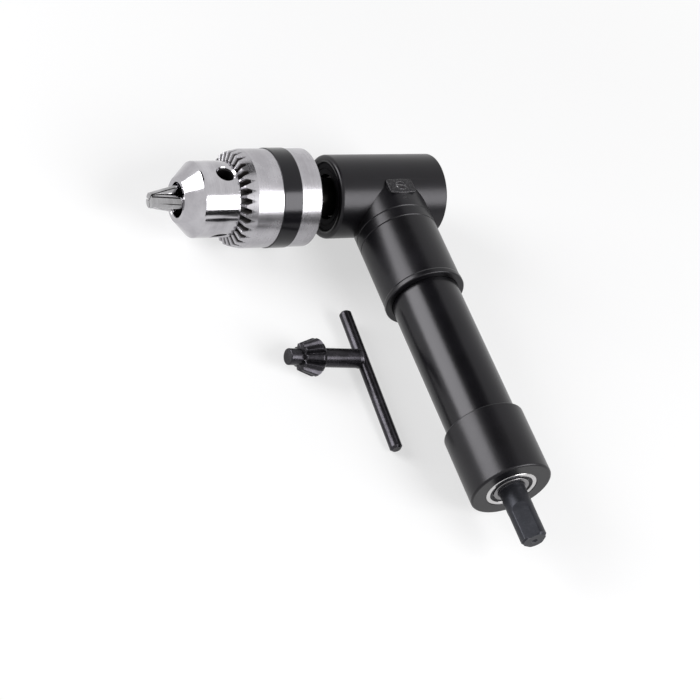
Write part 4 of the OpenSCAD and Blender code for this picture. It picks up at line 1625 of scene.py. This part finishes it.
class Chuck(Assembly):
    """The keyed three-jaw chuck.

    HALF_SECTOR cuts a sector of the sleeve into sections, in shares of the tooth pitch up to a gap's middle.
    TAPER_SHARES and TAPER_PART place the points on its taper, and TOOTH_SHARES those on its teeth.
    """

    sizes = ChuckSizes()
    HALF_SECTOR = (-0.5, -0.44, -0.41, -0.39, -0.376, -0.36, -0.34, -0.28, -0.18, -0.1, -0.03, 0.0)
    TAPER_SHARES = (0.02, 0.35, 0.7, 0.94)
    TAPER_PART = 0.6
    TOOTH_SHARES = (0.04, 0.5, 0.96, 1.0)

    @property
    def axis(self) -> Axis:
        """The chuck axis, with its origin in the chuck's back face."""
        return CHUCK_AXIS.shifted(self.sizes.back * MM)

    def gap_slope(self, off: float) -> float:
        """The ring gear's slope towards the key holes' centre.

        Args:
            off: The turn from a gap's middle, in radians.

        Returns:
            The drop per unit of radius, rounded where gap and crest meet.
        """
        size = self.sizes
        wall = math.tan(math.radians(size.half_angle)) * math.sin(math.atan(1 / size.root))
        gap = size.root * math.cos(off) - abs(math.sin(off)) / wall
        return -soft_least(-gap, -size.crest, size.tooth_round)

    def sleeve_section(self, turn: float) -> list[Point]:
        """The sleeve's outline, with the ring gear at its front.

        Args:
            turn: The turn about the chuck axis.

        Returns:
            The outline's points.
        """
        size = self.sizes
        slope = self.gap_slope(turn - math.radians(size.first_gap))
        band_end = size.band_start + size.band_width
        taper_start = size.key_hole - size.crest * size.ring - size.taper
        points = Outline((size.cavity, size.rear_lip), (size.cavity, 0.0, size.rear_edge),
                         (size.sleeve, 0.0, size.rear_round),
                         (size.sleeve, size.band_start, size.groove_edge), (size.groove, size.band_start),
                         (size.groove, band_end), (size.sleeve, band_end, size.groove_edge),
                         (size.sleeve, taper_start)).points(False)
        # A gap's straight bottom meets the taper's cone at the radius outer
        lean = size.taper / (size.sleeve - size.ring)
        outer = max((size.key_hole - taper_start - lean * size.sleeve) / (slope - lean), size.ring)
        for share in self.TAPER_SHARES:
            points.append((size.sleeve + (size.ring - size.sleeve) * share * self.TAPER_PART,
                           taper_start + size.taper * share * self.TAPER_PART))
        points.append((outer, taper_start + (size.sleeve - outer) * lean))
        for share in self.TOOTH_SHARES:
            radius = outer + (size.bore - outer) * share
            points.append((radius, size.key_hole - slope * radius))
        points += [(size.bore, size.key_hole - size.root * size.bore - size.ring_under),
                   (size.bore, size.ring_back), (size.cavity, size.ring_back)]
        return points

    def sleeve(self) -> bpy.types.Object:
        """The sleeve as one sector with one tooth gap, repeated about the axis.

        Returns:
            The sleeve.
        """
        size = self.sizes
        step = FULL_TURN / size.teeth
        around = [math.radians(size.first_gap) + step * share for share in mirrored(self.HALF_SECTOR, 0.0)]
        sector = turned("sleeve_turned", self.axis, around, self.sleeve_section, True, False)
        self.repeat.apply(sector, self.axis, size.teeth, self.wardrobe.take(Role.SLEEVE))
        return sector

    def band(self) -> bpy.types.Object:
        """The black band round the sleeve.

        Returns:
            The band.
        """
        size = self.sizes
        outer = reach("chuck_band", 1)
        start, end = size.band_start, size.band_start + size.band_width
        outline = Outline((size.groove, start), (outer, start, size.band_edge), (outer, end, size.band_edge),
                          (size.groove, end))
        return lathe("band_turned", self.axis, outline, Sections.BAND)

    def jaw_turn(self, number: int) -> float:
        """The turn of jaw 0, 1 or 2 about the chuck axis."""
        return math.radians(self.sizes.first_jaw) + number * THIRD_TURN

    def jaw_axis(self, number: int) -> Axis:
        """A jaw's own axis, with its origin at the jaw's tip.

        Args:
            number: 0, 1 or 2.

        Returns:
            The axis, pointing forwards.
        """
        size = self.sizes
        tip = self.axis.point(size.tip_off * MM, self.jaw_turn(number), size.tip * MM)
        out = self.axis.out(self.jaw_turn(number))
        tilt = math.radians(size.tilt)
        along = self.axis.along * math.cos(tilt) - out * math.sin(tilt)
        return Axis(tip, along, self.axis.along.cross(out))

    def rod(self, name: str, number: int, radius: float, start: float, end: float) -> bpy.types.Object:
        """A round rod on a jaw's axis, in millimetres along it from the tip."""
        outline = Outline((0, start), (radius, start), (radius, end), (0, end))
        return lathe(name, self.jaw_axis(number), outline, Sections.ROD)

    def key_hole(self, number: int) -> bpy.types.Object:
        """A cutter for one key hole.

        Args:
            number: 0, 1 or 2.

        Returns:
            The cutter.
        """
        size = self.sizes
        turn = math.radians(size.first_jaw + size.key_hole_turn) + number * THIRD_TURN
        axis = Axis(self.axis.point(0.0, 0.0, size.key_hole * MM), self.axis.out(turn), self.axis.along)
        radius, chamfer = size.key_hole_r, size.key_hole_chamfer
        wide = radius + 3 * chamfer
        bottom, top = size.nose - size.key_hole_depth, size.nose + size.overrun
        outline = Outline((0, bottom - radius / 3), (radius, bottom), (radius, size.nose - 2 * chamfer),
                          (wide, size.nose + chamfer), (wide, top), (0, top))
        return lathe("key_hole", axis, outline, Sections.KEY_HOLE)

    def body(self) -> bpy.types.Object:
        """The chuck body, with its key holes, jaw holes and mouth.

        Returns:
            The body.
        """
        size = self.sizes
        mouth = size.nose_end + size.cone
        outline = Outline((size.core, size.rear_lip), (size.core, 0.0, size.flange_edge),
                          (size.flange, 0.0, size.flange_edge), (size.flange, size.flange_width),
                          (size.barrel, size.flange_width), (size.barrel, size.barrel_end),
                          (size.nose, size.barrel_end), (size.nose, size.nose_end, size.nose_round),
                          (size.nose - size.cone, mouth, size.rim_edge), (size.mouth, mouth, size.rim_edge),
                          (size.mouth, size.nose_end), (size.core, size.nose_end - size.mouth_step))
        body = lathe("nose_turned", self.axis, outline, Sections.HEAD)
        cutters = [self.key_hole(number) for number in range(3)]
        cutters += [self.rod("jaw_hole", number, size.jaw_hole, -size.jaw_hole_depth, 0.0)
                    for number in range(3)]
        return carve(body, cutters)

    def rack(self, number: int, length: float) -> bpy.types.Object:
        """A cutter for the rack teeth at a jaw's rear end, as a row of wedges on its outer side.

        Args:
            number: 0, 1 or 2.
            length: The jaw's length along its own axis, in millimetres.

        Returns:
            The cutter.
        """
        size = self.sizes
        axis = self.jaw_axis(number)
        out = self.axis.out(self.jaw_turn(number))
        out = (out - axis.along * out.dot(axis.along)).normalized()
        rise = size.rack_depth * size.rack_rise
        half = size.jaw + size.overrun / 2
        mesh = bmesh.new()
        for tooth in range(1, size.rack_teeth + 1):
            place = tooth * size.rack_pitch - length
            ends = [[mesh.verts.new(axis.origin + axis.along * ((place + step) * MM)
                                    + out * ((size.jaw - size.rack_depth + high) * MM)
                                    + axis.zero * (across * MM))
                     for step, high in ((0.0, 0.0), (rise, rise), (-rise, rise))]
                    for across in (-half, half)]
            mesh.faces.new(ends[0])
            mesh.faces.new(ends[1])
            for index in range(3):
                after = (index + 1) % 3
                mesh.faces.new((ends[0][index], ends[0][after], ends[1][after], ends[1][index]))
        return finish_mesh(mesh, "rack")

    def jaw(self, number: int) -> bpy.types.Object:
        """One jaw: a rod cut by its two gripping faces, squared at the tip, with its rack.

        Args:
            number: 0, 1 or 2.

        Returns:
            The jaw.
        """
        size = self.sizes
        turn = self.jaw_turn(number)
        length = size.jaw_length / math.cos(math.radians(size.tilt))
        rod = self.rod(f"jaw_{number + 1}_ground", number, size.jaw, -length, size.overrun)
        edge = self.axis.point(size.grip_edge * MM, turn, 0.0)
        cuts = [(self.axis.origin + self.axis.along * (size.tip * MM), self.axis.along)]
        cuts += [(edge, self.axis.out(turn + side * math.radians(size.grip_turn))) for side in (-1, 1)]
        mesh = bmesh.new()
        mesh.from_mesh(rod.data)
        for place, normal in cuts:
            bmesh.ops.bisect_plane(mesh, geom=mesh.verts[:] + mesh.edges[:] + mesh.faces[:],
                                   dist=MERGE_DISTANCE, plane_co=place, plane_no=normal, clear_outer=True)
            bmesh.ops.holes_fill(mesh, edges=[line for line in mesh.edges if line.is_boundary], sides=0)
        bmesh.ops.recalc_face_normals(mesh, faces=mesh.faces)
        mesh.to_mesh(rod.data)
        mesh.free()
        carve(rod, [self.rack(number, length)])
        bevel = rod.modifiers.new("edges", "BEVEL")
        bevel.width = size.jaw_bevel * MM
        bevel.segments = size.bevel_steps
        bevel.angle_limit = SHARP_ANGLE
        return settle(rod)

    def build(self) -> None:
        """Builds and dresses the chuck."""
        self.stand_for(self.sleeve(), "chuck_sleeve", "sleeve", Role.SLEEVE)
        self.stand_for(self.band(), "chuck_band", "sleeve", Role.BAND)
        self.stand_for(self.body(), "chuck_body", "spindle", Role.NOSE)
        for number in range(3):
            name = f"jaw_{number + 1}"
            self.stand_for(self.jaw(number), name, name, Role.JAW)
        self.dress_nodes(Role.SPRING, "chuck_screw")
        self.dress_nodes(Role.MACHINED, "nut_half_a", "nut_half_b")


@dataclass
class KeySizes:
    """Sizes of the chuck key in millimetres along its stem from the bar."""

    bar_r: float = 2.35
    bar_chamfer: float = 0.78
    bar_end_edge: float = 0.12
    bar_edge: float = 0.25
    stem: float = 3.55
    tail: float = 0.45
    tail_edge: float = 0.12
    flare: float = 0.5
    flare_at: float = 2.9
    flare_round: float = 1.5
    lip_top: float = 2.0
    teeth_at: float = 18.9
    back: float = 2.4
    face: float = 5.9
    teeth: int = 10
    tip: float = 0.345
    root: float = 0.258
    half_angle: float = 38.0
    least_gap: float = 0.05
    tooth_round: float = 0.02
    tooth_foot: float = 0.45
    pilot: float = 3.05
    pilot_len: float = 5.2
    pilot_edge: float = 0.4
    pilot_foot: float = 0.05
    pilot_rest: float = 7 / 8
    apex_beyond: float = 14.6
    lean: float = 7.911
    roll: float = 2.494
    height: float = 4.0734

    @property
    def big_at(self) -> float:
        """Where the teeth are widest."""
        return self.teeth_at + self.back

    @property
    def front(self) -> float:
        """Where the teeth end and the pilot starts."""
        return self.big_at + self.face

    @property
    def apex(self) -> float:
        """Where all the teeth's lines meet, on the chuck axis when the key is in use."""
        return self.front + self.apex_beyond

    @property
    def big_r(self) -> float:
        """The teeth's largest radius."""
        return self.tip * (self.apex - self.big_at)

    @property
    def back_r(self) -> float:
        """The radius at which the teeth's rounded back starts."""
        return (3 * self.stem + self.big_r) / 4


class ChuckKey(Assembly):
    """The chuck key that lies beside the tool.

    HALF_SECTOR cuts a sector of its stem into sections, in shares of the tooth pitch up to a gap's middle.
    DOME_STEPS and FACE_SHARES place the points on a tooth's back and face. The place where back and face
    meet is found in HALVINGS steps.
    """

    sizes = KeySizes()
    HALF_SECTOR = (0.0, 0.06, 0.12, 0.16, 0.19, 0.22, 0.26, 0.32, 0.4, 0.47, 0.5)
    DOME_STEPS = 5
    FACE_SHARES = (0.03, 0.3, 0.7, 0.96)
    HALVINGS = 30

    @property
    def axis(self) -> Axis:
        """The stem's axis.

        Returns:
            The axis, with its origin in the bar's middle and the down side as zero.
        """
        size = self.sizes
        lean = math.radians(size.lean)
        along = Vector((math.cos(lean), 0, math.sin(lean)))
        down = Vector((math.sin(lean), 0, -math.cos(lean)))
        rolled = Quaternion(along, -math.radians(size.roll)) @ down
        length = size.front + size.pilot_len
        end_x = ends("key_body", 0)[1]
        start_x = end_x - (length * math.cos(lean) + size.pilot_rest * size.pilot * math.sin(lean)) * MM
        return Axis(Vector((start_x, middle("key_body").y, size.height * MM)), along, rolled)

    def gap_slope(self, off: float) -> float:
        """The teeth's slope from the cone's apex.

        Args:
            off: The turn from a gap's middle, in radians.

        Returns:
            The radius per unit of distance, rounded where gap and crest meet.
        """
        size = self.sizes
        spread = math.tan(math.radians(size.half_angle)) * math.cos(math.atan(size.root))
        # A gap face is flat: its radius per unit of distance grows away from the gap's middle
        gap = size.root / max(math.cos(off) - abs(math.sin(off)) / spread, size.least_gap)
        return soft_least(gap, size.tip, size.tooth_round)

    def section(self, turn: float) -> list[Point]:
        """The key's outline, from the stem's end to the pilot's.

        Args:
            turn: The turn about the stem's axis.

        Returns:
            The outline's points.
        """
        size = self.sizes
        step = FULL_TURN / size.teeth
        slope = self.gap_slope(turn % step - step / 2)
        points = Outline((0, -size.tail), (size.stem + size.flare, -size.tail, size.tail_edge),
                         (size.stem, size.flare_at, size.flare_round),
                         (size.stem, size.teeth_at)).points(False)
        meet = self.dome_meet(slope)
        for index in range(self.DOME_STEPS + 1):
            points.append(self.dome_point(-QUARTER_TURN + (meet + QUARTER_TURN) * index / self.DOME_STEPS))
        start = points[-1][1]
        for share in self.FACE_SHARES:
            place = start + (size.front - start) * share
            points.append((slope * (size.apex - place), place))
        foot = slope * (size.apex - size.front) - size.tooth_foot
        points.append((max(foot, size.pilot + size.pilot_foot), size.front))
        end = size.front + size.pilot_len
        pilot = Outline((size.pilot, size.front), (size.pilot, end, size.pilot_edge), (0, end))
        return points + pilot.points(False)

    def dome_point(self, lift: float) -> Point:
        """A point of the teeth's rounded back.

        Args:
            lift: From a quarter turn below 0 at the stem to 0 at the widest circle, in radians.

        Returns:
            The point in millimetres.
        """
        size = self.sizes
        radius = size.back_r + (size.big_r - size.back_r) * math.cos(lift)
        return radius, size.big_at + size.back * math.sin(lift)

    def dome_meet(self, slope: float) -> float:
        """Where the rounded back meets a line towards the apex.

        Args:
            slope: The line's radius per unit of distance from the apex.

        Returns:
            The place on the back, as an angle.
        """
        low, high = -QUARTER_TURN, 0.0
        for _ in range(self.HALVINGS):
            half = (low + high) / 2
            radius, place = self.dome_point(half)
            if radius < slope * (self.sizes.apex - place):
                low = half
            else:
                high = half
        return low

    def stem(self) -> bpy.types.Object:
        """The stem with its teeth, as one sector repeated about its axis, with the bar's seat.

        Returns:
            The stem.
        """
        size = self.sizes
        around = [FULL_TURN / size.teeth * share for share in mirrored(self.HALF_SECTOR, 1.0)]
        sector = turned("key_stem", self.axis, around, self.section, False, False)
        self.repeat.apply(sector, self.axis, size.teeth, self.wardrobe.take(Role.KEY))
        return carve(sector, [self.seat(), self.lip()])

    def lip(self) -> bpy.types.Object:
        """A cutter that slants the stem's end, so that the bar stays in view over its upper lip.

        Returns:
            The cutter.
        """
        size = self.sizes
        slant = math.atan2(size.lip_top + size.tail, 2 * (size.stem + size.flare))
        place = (size.lip_top - size.tail) / 2
        along = self.axis.along * math.cos(slant) + self.axis.zero * math.sin(slant)
        outline = Outline((0, -size.big_r), (size.big_r, -size.big_r), (size.big_r, 0), (0, 0))
        axis = Axis(self.axis.shifted(place * MM).origin, along, self.axis.side)
        return lathe("lip", axis, outline, Sections.ROD)

    def seat(self) -> bpy.types.Object:
        """A cutter for the bar's half-open seat in the stem's end.

        Returns:
            The cutter.
        """
        radius, half = self.sizes.bar_r + PRESS_GAP, self.sizes.big_r
        outline = Outline((0, -half), (radius, -half), (radius, half), (0, half))
        return lathe("seat", Axis(self.axis.origin, -self.axis.side, self.axis.along), outline, Sections.ROD)

    def bar(self) -> bpy.types.Object:
        """The cross bar with chamfered ends, which lies at the stem's turn.

        Returns:
            The bar.
        """
        size = self.sizes
        side = -self.axis.side
        flat_r = size.bar_r - size.bar_chamfer
        trim = flat_r * math.sqrt(1 - side.y * side.y)
        start, end = ((value - self.axis.origin.y) / MM for value in ends("key_bar", 1))
        low, high = sorted(((start + trim) / side.y, (end - trim) / side.y))
        outline = Outline((0, low), (flat_r, low, size.bar_end_edge),
                          (size.bar_r, low + size.bar_chamfer, size.bar_edge),
                          (size.bar_r, high - size.bar_chamfer, size.bar_edge),
                          (flat_r, high, size.bar_end_edge), (0, high))
        return lathe("key_cross_bar", Axis(self.axis.origin, side, self.axis.along), outline, Sections.ROD)

    def build(self) -> None:
        """Builds and dresses the key."""
        self.stand_for(self.stem(), "key_body", "key", Role.KEY)
        self.stand_for(self.bar(), "key_bar", "key", Role.KEY)


# Studio


@dataclass(frozen=True)
class Softbox:
    """A rectangular lamp that faces the object."""

    name: str
    toward: Place
    distance: float
    width: float
    height: float
    power: float

    def build(self, target: Vector) -> None:
        """Hangs the lamp.

        Args:
            target: The point that it faces.
        """
        lamp = bpy.data.lights.new(self.name, "AREA")
        lamp.shape = "RECTANGLE"
        lamp.size, lamp.size_y = self.width, self.height
        lamp.energy = self.power
        holder = bpy.data.objects.new(self.name, lamp)
        direction = Vector(self.toward).normalized()
        holder.location = target + direction * self.distance
        holder.rotation_mode = "QUATERNION"
        holder.rotation_quaternion = direction.to_track_quat("Z", "Y")
        bpy.context.scene.collection.objects.link(holder)


@dataclass(frozen=True)
class Flag:
    """A dark card out of the picture, which glossy faces show as a dark stripe, as in a product studio."""

    name: str
    middle: Place
    width: float
    height: float
    finish: Matt = Matt((0.02, 0.02, 0.022), (0.03, 0.03, 0.032), 0.85, Cloud(400.0, 2.0), 0.1)

    def build(self) -> None:
        """Hangs the card with its face towards the object."""
        away = Vector(self.middle)
        side = Vector((0, 0, 1)).cross(away).normalized() * (self.width / 2)
        up = away.cross(side).normalized() * (self.height / 2)
        corners = [away + corner for corner in (-side - up, side - up, side + up, up - side)]
        card = sheet(self.name, corners, self.finish.build(self.name))
        card.visible_camera = False


@dataclass(frozen=True)
class Studio:
    """A pale floor, two softboxes, two dark cards, a white world and the camera."""

    floor_size: float = 6.0
    floor_finish: Matt = FloorWhite((0.86, 0.86, 0.87), (0.9, 0.9, 0.905), 0.6, Cloud(9.0, 3.0))
    world_fill: float = 0.2
    target: Place = (0.0, 0.0, 0.02)
    lamps: tuple[Softbox, ...] = (Softbox("softbox_left", (-0.47, 0.65, 0.59), 0.75, 0.5, 0.5, 6.0),
                                  Softbox("softbox_right", (0.83, -0.5, 0.36), 0.78, 0.5, 0.6, 7.8))
    cards: tuple[Flag, ...] = (Flag("horizon_card", (-0.52, 1.1, 0.2), 1.9, 0.38),
                               Flag("top_card", (0.15, -0.46, 0.77), 0.7, 0.5))
    lens: float = 92.57
    sensor: float = 36.0
    clip: Range = (0.01, 20.0)
    camera_place: Place = (0.3056, 0.3335, 0.4773)
    right: Place = (-0.87954, 0.32955, 0.34323)
    up: Place = (-0.05871, -0.79099, 0.60901)
    back: Place = (0.47219, 0.5155, 0.71505)

    def floor(self) -> None:
        """Lays the pale floor."""
        half = self.floor_size / 2
        corners = [Vector((x * half, y * half, 0.0)) for x, y in ((-1, -1), (1, -1), (1, 1), (-1, 1))]
        plane = sheet("floor", corners, self.floor_finish.build("floor_pale"))

    def world(self) -> None:
        """Sets up a white background for the eye and for reflections, and a gentle fill light."""
        world = bpy.data.worlds.new("studio")
        bpy.context.scene.world = world
        graph = Graph(world, "Background")
        reflected = graph.ray("Is Glossy Ray").most(graph.ray("Is Transmission Ray"))
        shown = graph.ray("Is Camera Ray").most(reflected)
        graph.set("Color", (1.0, 1.0, 1.0, 1.0))
        graph.set("Strength", shown.ramp(0.0, 1.0, self.world_fill, 1.0))

    def camera(self) -> None:
        """Puts the camera at the photograph's place and turn."""
        data = bpy.data.cameras.new("camera")
        data.lens = self.lens
        data.sensor_width = self.sensor
        data.clip_start, data.clip_end = self.clip
        holder = bpy.data.objects.new("camera", data)
        turn = Matrix((self.right, self.up, self.back)).transposed().to_4x4()
        holder.matrix_world = Matrix.Translation(self.camera_place) @ turn
        bpy.context.scene.collection.objects.link(holder)
        bpy.context.scene.camera = holder

    def build(self) -> None:
        """Sets up the studio."""
        self.floor()
        self.world()
        self.camera()
        for lamp in self.lamps:
            lamp.build(Vector(self.target))
        for card in self.cards:
            card.build()
        bpy.context.scene.view_settings.view_transform = "Standard"


def main() -> None:
    """Builds the parts in order, then the studio."""
    logging.basicConfig(level=logging.INFO, format="%(name)s: %(message)s")
    wardrobe = Wardrobe()
    repeat = AboutAxis()
    for assembly in (GearHead, Arm, Shank, Chuck, ChuckKey):
        assembly(wardrobe, repeat).build()
        LOG.info("%s done", assembly.__name__)
    Studio().build()


if __name__ == "__main__":
    main()
